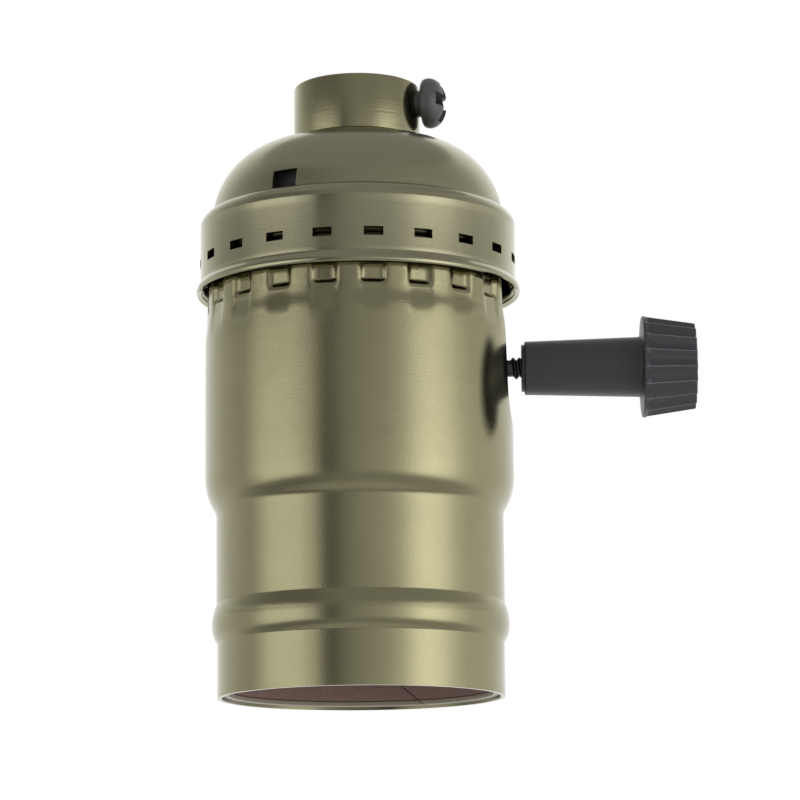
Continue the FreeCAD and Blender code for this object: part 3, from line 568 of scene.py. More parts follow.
class Recipe:
    """Builds one node tree."""

    def __init__(self, tree):
        self.tree = tree
        tree.nodes.clear()

    def node(self, kind, settings=None, inputs=None):
        """Add a node of a type, with its settings first and then its sockets."""
        made = self.tree.nodes.new(kind)
        for key, value in (settings or {}).items():
            if key == "stops":
                ramp = made.color_ramp
                for stop, (place, shade) in enumerate(value):
                    mark = ramp.elements[stop] if stop < 2 else ramp.elements.new(place)
                    mark.position = place
                    mark.color = shade
            else:
                setattr(made, key, value)
        for key, value in (inputs or {}).items():
            if isinstance(value, Wire):
                self.tree.links.new(value.socket, made.inputs[key])
            else:
                made.inputs[key].default_value = value
        return Made(self, made)

    def place(self):
        """Coordinates of the piece in metres."""
        return self.node("ShaderNodeTexCoord")["Object"]

    def axes(self):
        """Coordinates of the piece, read by axis."""
        return self.node("ShaderNodeSeparateXYZ", None, {"Vector": self.place()})

    def noise(self, scale, detail, roughness, stretch=None):
        """Soft noise in spots per metre, scaled by axis for drawn or brushed marks."""
        vector = self.place()
        if stretch:
            vector = self.node("ShaderNodeMapping", None, {"Vector": vector, "Scale": stretch})["Vector"]
        return self.node(
            "ShaderNodeTexNoise", None,
            {"Vector": vector, "Scale": scale, "Detail": detail, "Roughness": roughness},
        )["Fac"]

    def between(self, value, low, high, most=1.0):
        """Even rise from nothing at one value to the most at another."""
        return self.node(
            "ShaderNodeMapRange", None,
            {"Value": value, "From Min": low, "From Max": high, "To Max": most},
        )["Result"]

    def blend(self, amount, first, second):
        """Colour between two colours."""
        return self.node("ShaderNodeMix", {"data_type": "RGBA"}, {0: amount, 6: first, 7: second})[2]

    def tones(self, amount, shade, low, high):
        """Colour between two tones of a shade."""
        return self.blend(amount, rgba(shade, low), rgba(shade, high))

    def bump(self, height, strength, distance):
        """Normal from a height."""
        return self.node(
            "ShaderNodeBump", None, {"Height": height, "Strength": strength, "Distance": distance}
        )["Normal"]

    def ramp(self, place, levels):
        """Grey levels by place along a ramp."""
        stops = [(at, (level, level, level, 1.0)) for at, level in levels]
        return self.node("ShaderNodeValToRGB", {"stops": stops}, {"Fac": place})["Color"]

    def mix(self, amount, first, second):
        """Shader between two shaders."""
        return self.node("ShaderNodeMixShader", None, {0: amount, 1: first, 2: second})["Shader"]

    def emission(self, shade, strength):
        """Plain glow."""
        return self.node("ShaderNodeEmission", None, {"Color": shade, "Strength": strength})["Emission"]

    def seen(self):
        """One where the camera looks at the surface itself."""
        return self.node("ShaderNodeLightPath")["Is Camera Ray"]

    def close(self, surface):
        """Output of a material."""
        self.node("ShaderNodeOutputMaterial", None, {"Surface": surface})


def rgba(shade, factor=1.0):
    """Colour with full cover, made lighter or darker by a factor."""
    return (shade[0] * factor, shade[1] * factor, shade[2] * factor, 1.0)


def new_finish(name):
    """Empty material with its recipe."""
    material = bpy.data.materials.new(name)
    material.use_nodes = True
    return material, Recipe(material.node_tree)


def close_finish(recipe, shade, roughness, normal, **more):
    """Add the surface shader and the output."""
    inputs = {"Base Color": shade, "Roughness": roughness, "Normal": normal, **more}
    recipe.close(recipe.node("ShaderNodeBsdfPrincipled", None, inputs)["BSDF"])


def bronze_finish(
    name, light, dark, roughness, grain, rings=0.0, painted_shade_above=None, inside=0.0, matt_above=None
):
    """Satin bronze: cloudy, pebbled, ringed if turned, matt high up; painted shade under the cap, darker
    on the inner side.
    """
    painted_shade_tone, inside_tone, matt = 0.12, 0.65, 0.12
    material, recipe = new_finish(name)
    cloud = recipe.noise(180.0, 4.0, 0.6)
    speck = recipe.noise(5200.0, 2.0, 0.5)
    shade = recipe.blend(cloud * 0.6 + speck * 0.4, rgba(dark), rgba(light, 1.08))
    # Painted shade: above a height, where the cap covers the sheet, the colour goes nearly black; the
    # inner side is made darker too.
    if painted_shade_above is not None:
        parts = recipe.axes()
        under_cap_shade = recipe.between(parts["Z"], painted_shade_above, painted_shade_above + 0.6 * MM)
        shade = recipe.blend(under_cap_shade, shade, rgba(dark, painted_shade_tone))
        reach = (parts["X"] ** 2 + parts["Y"] ** 2) ** 0.5
        inner = recipe.between(reach, inside, inside - 0.1 * MM)
        shade = recipe.blend(inner, shade, rgba(dark, inside_tone))
    height = recipe.noise(6500.0, 2.0, 0.5)
    if rings:
        turned = recipe.noise(9000.0, 2.0, 0.6, (0.02, 0.02, 1.0))
        height = height * (1 - rings) + turned * rings
    polish = roughness + speck * 0.04 - 0.02 + cloud * 0.02
    if matt_above is not None:
        polish = polish + recipe.between(recipe.axes()["Z"], matt_above, matt_above + 2 * MM, matt)
    close_finish(recipe, shade, polish, recipe.bump(height, grain, 0.05 * MM), Metallic=1.0)
    return material


def plastic_finish(name, shade, roughness, grain=0.25, painted_highlight=None):
    """Moulded plastic with a fine spark-eroded grain, and a painted highlight where a mask is given."""
    material, recipe = new_finish(name)
    cloud = recipe.noise(350.0, 4.0, 0.6)
    grains = recipe.noise(5000.0, 3.0, 0.6)
    tint = recipe.tones(cloud, shade, 0.9, 1.15)
    if painted_highlight:
        # Painted highlight: the colour is raised five times along the mask.
        tint = recipe.blend(painted_highlight(recipe) * (0.4 + 0.6 * cloud), tint, rgba(shade, 5.0))
    polish = roughness + grains * 0.12 - 0.06
    close_finish(recipe, tint, polish, recipe.bump(grains, grain, 0.03 * MM), IOR=1.5)
    return material


def knob_ridge_highlight(recipe):
    """Mask of the painted highlight: one along the ridges of the knob's head, and nothing elsewhere."""
    sizes = bpy.context.scene.knob_sizes
    parts = recipe.axes()
    up = parts["Z"] - (MOUTH + AXIS_HEIGHT)
    around = up.maths("ARCTAN2", up, parts["Y"]) * (sizes.flutes / FULL_TURN) + 0.5
    ridge_edge, ridge_top = 0.035, 0.015
    ridge = recipe.between(around.maths("PINGPONG", around, 0.5), ridge_edge, ridge_top)
    head = KNOB_START + sizes.sleeve_length
    return ridge * recipe.between(parts["X"], head, head + 0.3 * MM)


def metal_finish(name, shade, roughness, stretch=(1.0, 1.0, 1.0)):
    """Plain metal with drawn marks and slight tarnish."""
    material, recipe = new_finish(name)
    marks = recipe.noise(6000.0, 2.0, 0.6, stretch)
    tint = recipe.tones(recipe.noise(400.0, 4.0, 0.6), shade, 0.82, 1.05)
    polish = roughness + marks * 0.12 - 0.06
    close_finish(recipe, tint, polish, recipe.bump(marks, 0.2, 0.02 * MM), Metallic=1.0)
    return material


def blackened_finish(shade):
    """Blackened steel: dark oxide with a satin sheen."""
    material, recipe = new_finish("blackened_steel")
    cloud = recipe.noise(900.0, 4.0, 0.65)
    tint = recipe.tones(cloud, shade, 0.7, 1.6)
    normal = recipe.bump(recipe.noise(3200.0, 3.0, 0.6), 0.3, 0.04 * MM)
    close_finish(recipe, tint, 0.38 + cloud * 0.12, normal, Metallic=0.35)
    return material


def fibre_finish(name, shade, foot=None, band=0.0):
    """Pressed fibre: matted threads of several tones; at its foot a pale edge, a painted band of light
    and a painted shadow line above it.
    """
    material, recipe = new_finish(name)
    threads = recipe.noise(2200.0, 5.0, 0.7, (1.0, 1.0, 0.6))
    flecks = recipe.noise(5200.0, 3.0, 0.7)
    mixed = threads * 0.6 + flecks * 0.4
    tint = recipe.tones(mixed, shade, 0.55, 1.5)
    if foot is not None:
        # Painted light and shade at the foot: a sandy band of painted light, a pale edge at the very
        # foot, and a dark painted shadow line along the band's top.
        rise = recipe.axes()["Z"] - foot + mixed * 0.12 * MM
        away = rise - (band + 0.12 * MM)
        painted_light = recipe.between(rise, band + 0.08 * MM, band)
        edge = recipe.between(rise, 0.2 * MM, 0.1 * MM)
        painted_shadow_line = recipe.between(away.maths("ABSOLUTE", away, 0.0), 0.1 * MM, 0.04 * MM)
        tint = recipe.blend(painted_light, tint, recipe.blend(mixed, DARK_SAND, LIGHT_SAND))
        tint = recipe.blend(edge, tint, PALE_EDGE)
        tint = recipe.blend(painted_shadow_line * 0.85, tint, rgba(shade, 0.15))
    close_finish(recipe, tint, 0.78 + flecks * 0.15, recipe.bump(mixed, 0.5, 0.06 * MM))
    return material


finishes = {}


def make_finishes(scene):
    """Make every finish once."""
    look, shell, inner = scene.finish_settings, scene.shell_sizes, scene.inside_sizes
    rough = look.bronze_roughness
    light, dark, cap = look.bronze, look.bronze_dark, look.cap_bronze
    rim = MOUTH + CAP_BOTTOM
    half_wall = shell.mouth_radius - shell.sheet / 2
    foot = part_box("body_liner")[0].z - inner.liner_drop
    spindle = (0.09, 0.09, 0.092)
    finishes.update({
        # The shell gets painted shade from just above the cap's lower edge, where the cap covers it.
        "bronze": bronze_finish(
            "satin_bronze", light, dark, rough, 0.22, painted_shade_above=rim + 0.6 * MM, inside=half_wall
        ),
        "bronze_dome": bronze_finish(
            "matt_bronze", cap, cap, rough - 0.035, 0.07, matt_above=rim + scene.cap_sizes.band_top
        ),
        "bronze_turned": bronze_finish("turned_bronze", light, dark, rough, 0.18, 0.7),
        "knob": plastic_finish("knob_moulding", look.moulding, 0.42, 0.12, knob_ridge_highlight),
        "insulator": plastic_finish("black_moulding", look.insulator, 0.45),
        "rotor": plastic_finish("pale_moulding", look.pale_insulator, 0.5),
        "blackened": blackened_finish(look.blackened),
        "fibre": fibre_finish("pressed_fibre", look.fibre, foot, inner.pale_band),
        "dark_fibre": fibre_finish("dark_fibre", look.dark_fibre),
        "brass": metal_finish("bare_brass", look.brass, 0.3, (0.1, 1.0, 1.0)),
        "steel": metal_finish("plated_steel", look.steel, 0.28),
        "spindle": metal_finish("spindle_steel", spindle, 0.35, (1.0, 0.1, 0.1)),
        "thread": metal_finish("rolled_thread", look.thread_metal, 0.22, (1.0, 1.0, 0.05)),
    })


class LAMPHOLDER_OT_shell(bpy.types.Operator):
    """Make the pressed body shell with its bead, shoulder, pockets and notch"""

    bl_idname = "lampholder.shell"
    bl_label = "Body shell"

    def outline(self, sizes):
        """Outer line from the mouth up to the top edge."""
        lower = sizes.lower_radius
        collar = BODY_RADIUS - sizes.collar_step
        pocket_top = sizes.collar_low + sizes.pocket_height
        path = Outline([(sizes.mouth_radius, 0.0)])
        path.line((sizes.mouth_radius, sizes.bead_low), 4)
        path.curve((sizes.mouth_radius + sizes.bead_rise, sizes.bead_crest), 6, sizes.bead_corner)
        path.curve((lower, sizes.bead_top), 6, 1 - sizes.bead_corner)
        path.line((lower, sizes.shoulder_low), 4)
        path.curve((BODY_RADIUS, sizes.shoulder_top), 8, sizes.shoulder_corner)
        path.line((BODY_RADIUS, sizes.crimp_low - 2 * MM), 5)
        path.line((BODY_RADIUS, sizes.crimp_low), 6)
        path.curve((collar, sizes.collar_low), 9)
        path.line((collar, sizes.collar_low + 2 * MM), 16)
        path.line((collar, pocket_top + sizes.pocket_edge), 12)
        path.line((collar, SHELL_TOP), 3)
        return path

    def press(self, bm, sizes):
        """Push the pockets and the soft hollows under them into the wall."""
        pitch = FULL_TURN / sizes.pitch_count
        crowding = 0.62
        squeeze = pitch / (2 * FULL_TURN) * crowding
        half = sizes.pocket_width / 2
        edge = sizes.pocket_edge
        low = sizes.collar_low
        high = low + sizes.pocket_height
        for vert in bm.verts:
            at, radius = polar(vert.co)
            height = vert.co.z
            offset = pitch_offset(at, sizes.pocket_phase, sizes.pitch_count)
            moved = offset + squeeze * math.sin(2 * FULL_TURN * offset / pitch)
            across = abs(moved) * radius
            side = smooth_step((half + sizes.pocket_flank / 2 - across) / sizes.pocket_flank)
            foot = smooth_step((height - low + edge) / (2 * edge))
            head = smooth_step((high + edge / 2 - height) / edge)
            wave = 0.5 + 0.5 * math.cos(FULL_TURN * offset / pitch)
            run = smooth_step((height - low + sizes.scallop_length) / sizes.scallop_length)
            pocket = sizes.pocket_depth * side * foot * head
            hollow = sizes.scallop_depth * wave * run * (1 - foot)
            put(vert, at + moved - offset, radius - pocket - hollow)

    def execute(self, context):
        sizes = context.scene.shell_sizes
        bm = lathe(self.outline(sizes), PITCH_COLUMNS * sizes.pitch_count, start=sizes.pocket_phase)
        face_outwards(bm)
        self.press(bm, sizes)
        open_notch(bm, sizes, 0.0)
        thicken(bm, sizes.sheet, sizes.raw_edge)
        settle(bm, "pressed_shell", "holder", ["body_shell"], "bronze")
        return {"FINISHED"}


class LAMPHOLDER_OT_cap(bpy.types.Operator):
    """Make the domed cap with its rolled lip, slots and window"""

    bl_idname = "lampholder.cap"
    bl_label = "Cap"

    def outline(self, sizes):
        """Outer line from the rolled lip up to the hole for the neck."""
        band = LIP_RADIUS - sizes.lip_flare
        lip = CAP_BOTTOM + sizes.lip_rise
        lip_edge = (LIP_RADIUS - sizes.lip_edge / 3, lip)
        lip_crest = (LIP_RADIUS, lip + sizes.lip_edge)
        slot_low = CAP_BOTTOM + sizes.slot_rise - sizes.slot_height / 2
        band_top = CAP_BOTTOM + sizes.band_top
        rim = (band - sizes.shoulder_step, band_top + sizes.shoulder_height)
        seat = (sizes.seat_radius, CAP_TOP)
        crown = (0.0, CAP_TOP - math.sqrt(sizes.crown_radius ** 2 - sizes.seat_radius ** 2))
        side = self.haunch_centre(crown, rim, sizes)
        reach = sizes.crown_radius / (sizes.crown_radius - sizes.haunch_radius)
        path = Outline([lip_edge])
        path.arc(upright_centre(lip_crest, lip_edge), lip_crest, 7)
        path.curve((band, lip + sizes.lip_run), 7)
        path.line((band, slot_low), 3)
        path.line((band, slot_low + sizes.slot_height), 2)
        path.line((band, band_top), 4)
        path.arc(upright_centre(path[-1], rim), rim, 12)
        path.arc(side, (side[0] * reach, crown[1] + (side[1] - crown[1]) * reach), 28)
        path.arc(crown, seat, 5)
        path.line((sizes.hole_radius, CAP_TOP), 2)
        return path

    def haunch_centre(self, crown, rim, sizes):
        """Centre of the arc that is tangent to the crown and starts at the crease."""
        far = sizes.crown_radius - sizes.haunch_radius
        across, rise = rim[0] - crown[0], rim[1] - crown[1]
        gap = math.hypot(across, rise)
        along = (gap ** 2 + far ** 2 - sizes.haunch_radius ** 2) / (2 * gap)
        aside = math.sqrt(far ** 2 - along ** 2)
        return (
            crown[0] + (across * along - rise * aside) / gap,
            crown[1] + (rise * along + across * aside) / gap,
        )

    def open_slots(self, bm, sizes, shell):
        """Remove the faces in the slots."""
        slot_middle = CAP_BOTTOM + sizes.slot_rise

        def in_slot(middle):
            at, radius = polar(middle)
            across = abs(pitch_offset(at, shell.pocket_phase, shell.pitch_count)) * radius
            return across < sizes.slot_width / 2 and abs(middle.z - slot_middle) < sizes.slot_height / 2

        drop_faces(bm, in_slot)

    def open_window(self, bm, sizes):
        """Cut the window out of the dome, just above the crease."""
        at = sizes.window_angle
        facing = Vector((math.cos(at), math.sin(at), 0))
        aside = Vector((-math.sin(at), math.cos(at), 0))
        upright = Vector((0, 0, 1))
        half = sizes.window_width / 2
        low = CAP_BOTTOM + sizes.band_top + sizes.shoulder_height + sizes.window_rise
        top = low + sizes.window_height

        def inside(middle, margin=0.0):
            if middle.dot(facing) < 0 or abs(middle.dot(aside)) > half + margin:
                return False
            return low - margin < middle.z < top + margin

        sides = [(aside * half, aside), (aside * -half, aside)]
        sides += [(upright * low, upright), (upright * top, upright)]
        for point, normal in sides:
            faces = [face for face in bm.faces if inside(face.calc_center_median(), half)]
            cut_plane(bm, faces, point, normal)
        drop_faces(bm, inside)

    def line_up(self, bm, sizes, shell):
        """Shift the upright lines of the mesh so that some of them lie on the slots' sides."""
        half_pitch = math.pi / shell.pitch_count
        wanted = sizes.slot_width / 2 / (LIP_RADIUS - sizes.lip_flare)
        found = half_pitch * 2 / 5
        slack = 1e-6
        for vert in bm.verts:
            at, radius = polar(vert.co)
            offset = pitch_offset(at, shell.pocket_phase, shell.pitch_count)
            size = abs(offset)
            if size <= found + slack:
                moved = size * wanted / found
            else:
                moved = wanted + (size - found) * (half_pitch - wanted) / (half_pitch - found)
            put(vert, at + math.copysign(moved, offset) - offset, radius)

    def execute(self, context):
        sizes = context.scene.cap_sizes
        shell = context.scene.shell_sizes
        bm = lathe(self.outline(sizes), PITCH_COLUMNS * shell.pitch_count, start=shell.pocket_phase)
        face_outwards(bm)
        self.line_up(bm, sizes, shell)
        self.open_slots(bm, sizes, shell)
        self.open_window(bm, sizes)
        thicken(bm, shell.sheet, sizes.raw_edge)
        settle(bm, "domed_cap", "holder", ["cap"], "bronze_dome", CAP_SHARP)
        return {"FINISHED"}


class LAMPHOLDER_OT_neck(bpy.types.Operator):
    """Make the turned neck with its thread and the hole for the set screw"""

    bl_idname = "lampholder.neck"
    bl_label = "Neck"

    def execute(self, context):
        sizes = context.scene.neck_sizes
        cap = context.scene.cap_sizes
        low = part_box("neck_ferrule")[0].z - MOUTH
        under_cap = CAP_TOP - context.scene.shell_sizes.sheet - HAIR
        hole = cap.hole_radius - SLACK
        edge = sizes.edge
        flank = sizes.radius - edge
        root = sizes.bore_radius + sizes.thread_depth
        path = Outline([
            (root, low), (cap.seat_radius, low), (cap.seat_radius, under_cap), (hole, under_cap),
            (hole, CAP_TOP), (flank, CAP_TOP), (sizes.radius, CAP_TOP + edge),
            (sizes.radius, NECK_TOP - edge),
        ])
        path.arc((flank, NECK_TOP - edge), (flank, NECK_TOP), 4)
        path += [(root + edge, NECK_TOP), (root, NECK_TOP - edge)]
        bm = lathe(path, 160, closed=True)
        piece = settle(bm, "turned_neck", "holder", ["neck_ferrule"], "bronze_turned")
        carve(piece, self.drill(sizes))
        self.thread(sizes, root, low, edge)
        return {"FINISHED"}

    def drill(self, sizes):
        """Cylinder that cuts the hole for the set screw."""
        radius = sizes.screw_radius + SLACK
        bm = bmesh.new()
        bmesh.ops.create_cone(
            bm, cap_ends=True, segments=32, radius1=radius, radius2=radius, depth=2 * sizes.radius
        )
        turn(bm, SCREW_WAY.to_track_quat("Z", "Y").to_matrix())
        lift = Vector((0, 0, MOUTH + NECK_TOP - sizes.screw_drop))
        shift(bm, SCREW_WAY * sizes.radius * 1.05 + lift)
        return bm

    def thread(self, sizes, root, low, edge):
        """Wind the thread inside the bore."""
        turns = int((NECK_TOP - low - edge) / sizes.thread_pitch) - 1
        half = sizes.thread_pitch * 0.44
        sunk = root + HAIR
        section = (
            (sunk, 0, low), (sizes.bore_radius, 0, low + half * 0.8),
            (sizes.bore_radius, 0, low + half * 1.2), (sunk, 0, low + 2 * half),
        )
        bm = wind(section, (0, 0, 1), sizes.thread_pitch, turns, THREAD_STEPS)
        settle(bm, "neck_thread", "holder", [], "bronze_turned")


class LAMPHOLDER_OT_set_screw(bpy.types.Operator):
    """Make the pan-headed set screw"""

    bl_idname = "lampholder.set_screw"
    bl_label = "Set screw"

    def cross(self, sizes):
        """Cross-shaped block that cuts the recess."""
        arm, half = sizes.recess_width / 2, sizes.recess_length / 2
        corners = [(half, -arm), (half, arm), (arm, arm)]
        places = []
        for quarter in range(4):
            places += corners
            corners = [(-up, across) for across, up in corners]
        bm = bmesh.new()
        face = bm.faces.new([bm.verts.new((-sizes.recess_depth, *place)) for place in places])
        grown = bmesh.ops.extrude_face_region(bm, geom=[face])["geom"]
        moved = [part for part in grown if isinstance(part, bmesh.types.BMVert)]
        bmesh.ops.translate(bm, verts=moved, vec=(2 * sizes.recess_depth, 0, 0))
        bmesh.ops.recalc_face_normals(bm, faces=bm.faces)
        return bm

    def outline(self, sizes, end):
        """Line from the tip round the pan head."""
        head = sizes.head_start
        rim = head + sizes.head_rim
        curl = sizes.head_rim * 0.6
        under = sizes.head_radius - curl
        roundness = 0.85
        path = [(0.0, sizes.screw_start), (sizes.screw_radius * 0.7, sizes.screw_start)]
        path += [(sizes.screw_radius, sizes.screw_start + 0.4 * MM), (sizes.screw_radius, head)]
        path += [(under, head)]
        for step in range(1, 6):
            at = math.pi / 2 * step / 5
            path.append((under + curl * math.sin(at), rim - sizes.head_rim * math.cos(at)))
        for step in range(1, 15):
            at = math.pi / 2 * step / 14
            path.append((sizes.head_radius * math.cos(at) ** roundness, rim + (end - rim) * math.sin(at)))
        return path

    def execute(self, context):
        sizes = context.scene.neck_sizes
        end = sizes.head_start + sizes.head_height
        heading = Matrix.Rotation(math.atan2(SCREW_WAY.y, SCREW_WAY.x), 3, "Z")
        lift = NECK_TOP - sizes.screw_drop
        bm = lathe(self.outline(sizes, end), 72, axis=(1, 0, 0))
        turn(bm, heading)
        shift(bm, (0, 0, lift))
        piece = settle(bm, "cross_head_screw", "neck_screw", ["set_screw"], "blackened")
        tool = self.cross(sizes)
        shift(tool, (end, 0, 0))
        turn(tool, heading)
        shift(tool, (0, 0, MOUTH + lift))
        carve(piece, tool)
        return {"FINISHED"}


class LAMPHOLDER_OT_knob(bpy.types.Operator):
    """Make the moulded knob with its sleeve and fluted head"""

    bl_idname = "lampholder.knob"
    bl_label = "Knob"

    def outline(self, sizes):
        """Line from the bore round the sleeve and the head."""
        start, end = KNOB_START, KNOB_END - sizes.end_setback
        sleeve_end = start + sizes.sleeve_length
        bore = sizes.spindle_radius + 0.02 * MM
        lead_in, chamfer, draft, dish = 0.1 * MM, 0.05 * MM, 0.04 * MM, 0.12 * MM
        seat = sizes.sleeve_inner - sizes.step
        shelf = start + sizes.step
        corner = 0.08 * MM
        fillet, rounding = sizes.fillet, sizes.rounding
        path = Outline([
            (bore, SPINDLE_END), (bore, start + lead_in), (bore + lead_in, start),
            (seat - chamfer, start), (seat, start + chamfer), (seat, shelf),
            (sizes.sleeve_inner - corner, shelf), (sizes.sleeve_inner, shelf + corner),
        ])
        path.line((sizes.sleeve_outer, sleeve_end - fillet), 10)
        path += [(sizes.sleeve_outer + fillet * 0.3, sleeve_end - fillet * 0.3)]
        path += [(sizes.sleeve_outer + fillet, sleeve_end), (KNOB_RADIUS - rounding, sleeve_end)]
        turned_at = sleeve_end + rounding
        path.arc((KNOB_RADIUS - rounding, turned_at), (KNOB_RADIUS, turned_at), 5)
        path.line((KNOB_RADIUS - draft, sleeve_end + sizes.rim), 2)
        path.line((sizes.head_outer, end - rounding), 22)
        path.arc((sizes.head_outer - rounding, end - rounding), (sizes.head_outer - rounding, end), 5)
        path.line((0.0, end - dish), 6)
        return path

    def flute(self, bm, sizes):
        """Press shallow flutes into the head."""
        first = KNOB_START + sizes.sleeve_length + sizes.rim
        half_pitch = math.pi / sizes.flutes
        sharpness = 1.7
        for vert in bm.verts:
            radius = math.hypot(vert.co.y, vert.co.z)
            if vert.co.x < first or radius < sizes.head_outer * 0.8:
                continue
            at = math.atan2(vert.co.z, vert.co.y)
            hollow = 1 - (abs(pitch_offset(at, 0.0, sizes.flutes)) / half_pitch) ** sharpness
            fade = smooth_step((vert.co.x - first) / (0.3 * MM))
            scale = 1 - sizes.flute_depth * hollow * fade / radius
            vert.co.y *= scale
            vert.co.z *= scale

    def execute(self, context):
        sizes = context.scene.knob_sizes
        bm = lathe(self.outline(sizes), FLUTE_COLUMNS * sizes.flutes, axis=(1, 0, 0))
        self.flute(bm, sizes)
        shift(bm, (0, 0, AXIS_HEIGHT))
        settle(bm, "fluted_knob", "turn_knob", ["knob"], "knob")
        return {"FINISHED"}


class LAMPHOLDER_OT_spindle(bpy.types.Operator):
    """Make the threaded spindle"""

    bl_idname = "lampholder.spindle"
    bl_label = "Spindle"

    def execute(self, context):
        sizes = context.scene.knob_sizes
        core, full = sizes.spindle_core, sizes.spindle_radius
        chamfer = 0.2 * MM
        path = [(0.0, SPINDLE_START), (full - chamfer, SPINDLE_START), (full, SPINDLE_START + chamfer)]
        path += [(full, sizes.groove_start), (core, sizes.groove_start)]
        path += [(core, sizes.groove_end), (full, sizes.groove_end)]
        path += [(full, sizes.neck_start - chamfer), (core, sizes.neck_start)]
        path += [(core, SPINDLE_END), (0.0, SPINDLE_END)]
        bm = lathe(path, 48, axis=(1, 0, 0))
        shift(bm, (0, 0, AXIS_HEIGHT))
        settle(bm, "spindle_core", "turn_knob", ["spindle"], "spindle")
        pitch, low, sunk = sizes.spindle_pitch, sizes.neck_end, core - SLACK
        section = (
            (low, 0, sunk), (low + pitch * 0.42, 0, full), (low + pitch * 0.54, 0, full),
            (low + pitch * 0.96, 0, sunk),
        )
        turns = int((SPINDLE_END - low) / pitch) - 1
        bm = wind(section, (1, 0, 0), pitch, turns, SPINDLE_STEPS)
        shift(bm, (0, 0, AXIS_HEIGHT))
        settle(bm, "spindle_thread", "turn_knob", [], "spindle")
        return {"FINISHED"}


class LAMPHOLDER_OT_liner(bpy.types.Operator):
    """Make the fibre liner with its leaning seam"""

    bl_idname = "lampholder.liner"
    bl_label = "Fibre liner"

    def execute(self, context):
        sizes = context.scene.inside_sizes
        low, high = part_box("body_liner")
        foot = low.z - MOUTH - sizes.liner_drop
        path = Outline([(LINER_RADIUS, foot)])
        path.line((LINER_RADIUS, foot + sizes.seam_corner), 12)
        path.line((LINER_RADIUS, high.z - MOUTH), 34)
        bm = lathe(path, LINER_COLUMNS)
        face_outwards(bm)
        self.open_seam(bm, sizes, foot)
        open_notch(bm, context.scene.shell_sizes, sizes.notch_margin)
        thicken(bm, sizes.liner_wall, sizes.liner_edge)
        settle(bm, "fibre_liner", "holder", ["body_liner"], "fibre")
        return {"FINISHED"}

    def open_seam(self, bm, sizes, foot):
        """Open a slit up the tube and twist its lowest part, so that the slit leans there."""
        column = FULL_TURN / LINER_COLUMNS
        gap = sizes.seam_gap / LINER_RADIUS
        lean = math.tan(sizes.seam_lean) / LINER_RADIUS
        drop_faces(bm, lambda middle: 0 < math.atan2(middle.y, middle.x) < column)
        for vert in bm.verts:
            at, radius = polar(vert.co)
            if abs(at - column) < column / 2:
                at = gap
            climb = min(vert.co.z - foot, sizes.seam_corner)
            put(vert, at + sizes.seam_angle + climb * lean, radius)


class LAMPHOLDER_OT_screw_shell(bpy.types.Operator):
    """Make the rolled lamp thread as one helix"""

    bl_idname = "lampholder.screw_shell"
    bl_label = "Screw shell"

    def execute(self, context):
        sizes = context.scene.inside_sizes
        wall = THREAD_RADIUS - sizes.thread_sheet * 0.43
        path = Outline([(wall, THREAD_LOW)])
        path.line((wall, THREAD_TOP), 90)
        path.line((sizes.base_hole, THREAD_TOP), 6)
        bm = lathe(path, 180)
        face_outwards(bm)
        first = THREAD_LOW + sizes.mouth_height
        last = first + sizes.thread_pitch * sizes.thread_turns
        slack = 1e-6
        for vert in bm.verts:
            at, radius = polar(vert.co)
            if radius < wall - slack:
                continue
            height = vert.co.z
            around = (height - first) / sizes.thread_pitch - at / FULL_TURN
            fade = smooth_step((height - first) / sizes.thread_fade)
            fade *= smooth_step((last - height) / sizes.thread_fade)
            dip = 0.5 - 0.5 * math.cos(FULL_TURN * around)
            put(vert, at, radius - (sizes.thread_depth * dip + sizes.thread_sink) * fade)
        thicken(bm, sizes.thread_sheet, sizes.thread_edge)
        settle(bm, "rolled_screw_shell", "holder", ["lamp_screw_shell"], "thread")
        return {"FINISHED"}


class LAMPHOLDER_OT_inner_pieces(bpy.types.Operator):
    """Give the pieces inside their finishes"""

    bl_idname = "lampholder.inner_pieces"
    bl_label = "Inner pieces"

    def execute(self, context):
        by_finish = {
            "dark_fibre": ("cap_liner",),
            "insulator": ("insulating_disc", "switch_housing", "switch_cover"),
            "brass": (
                "line_leaf", "lamp_leaf", "live_terminal", "neutral_terminal", "neutral_strap",
                "core_rivets", "contact_rivet", "centre_contact", "rotor_contact",
            ),
            "steel": ("terminal_screws", "spindle_clip", "detent_spring"),
            "rotor": ("switch_rotor",),
        }
        for finish, names in by_finish.items():
            for name in names:
                node = frame["nodes"][name]
                node.data.materials.clear()
                node.data.materials.append(finishes[finish])
        return {"FINISHED"}


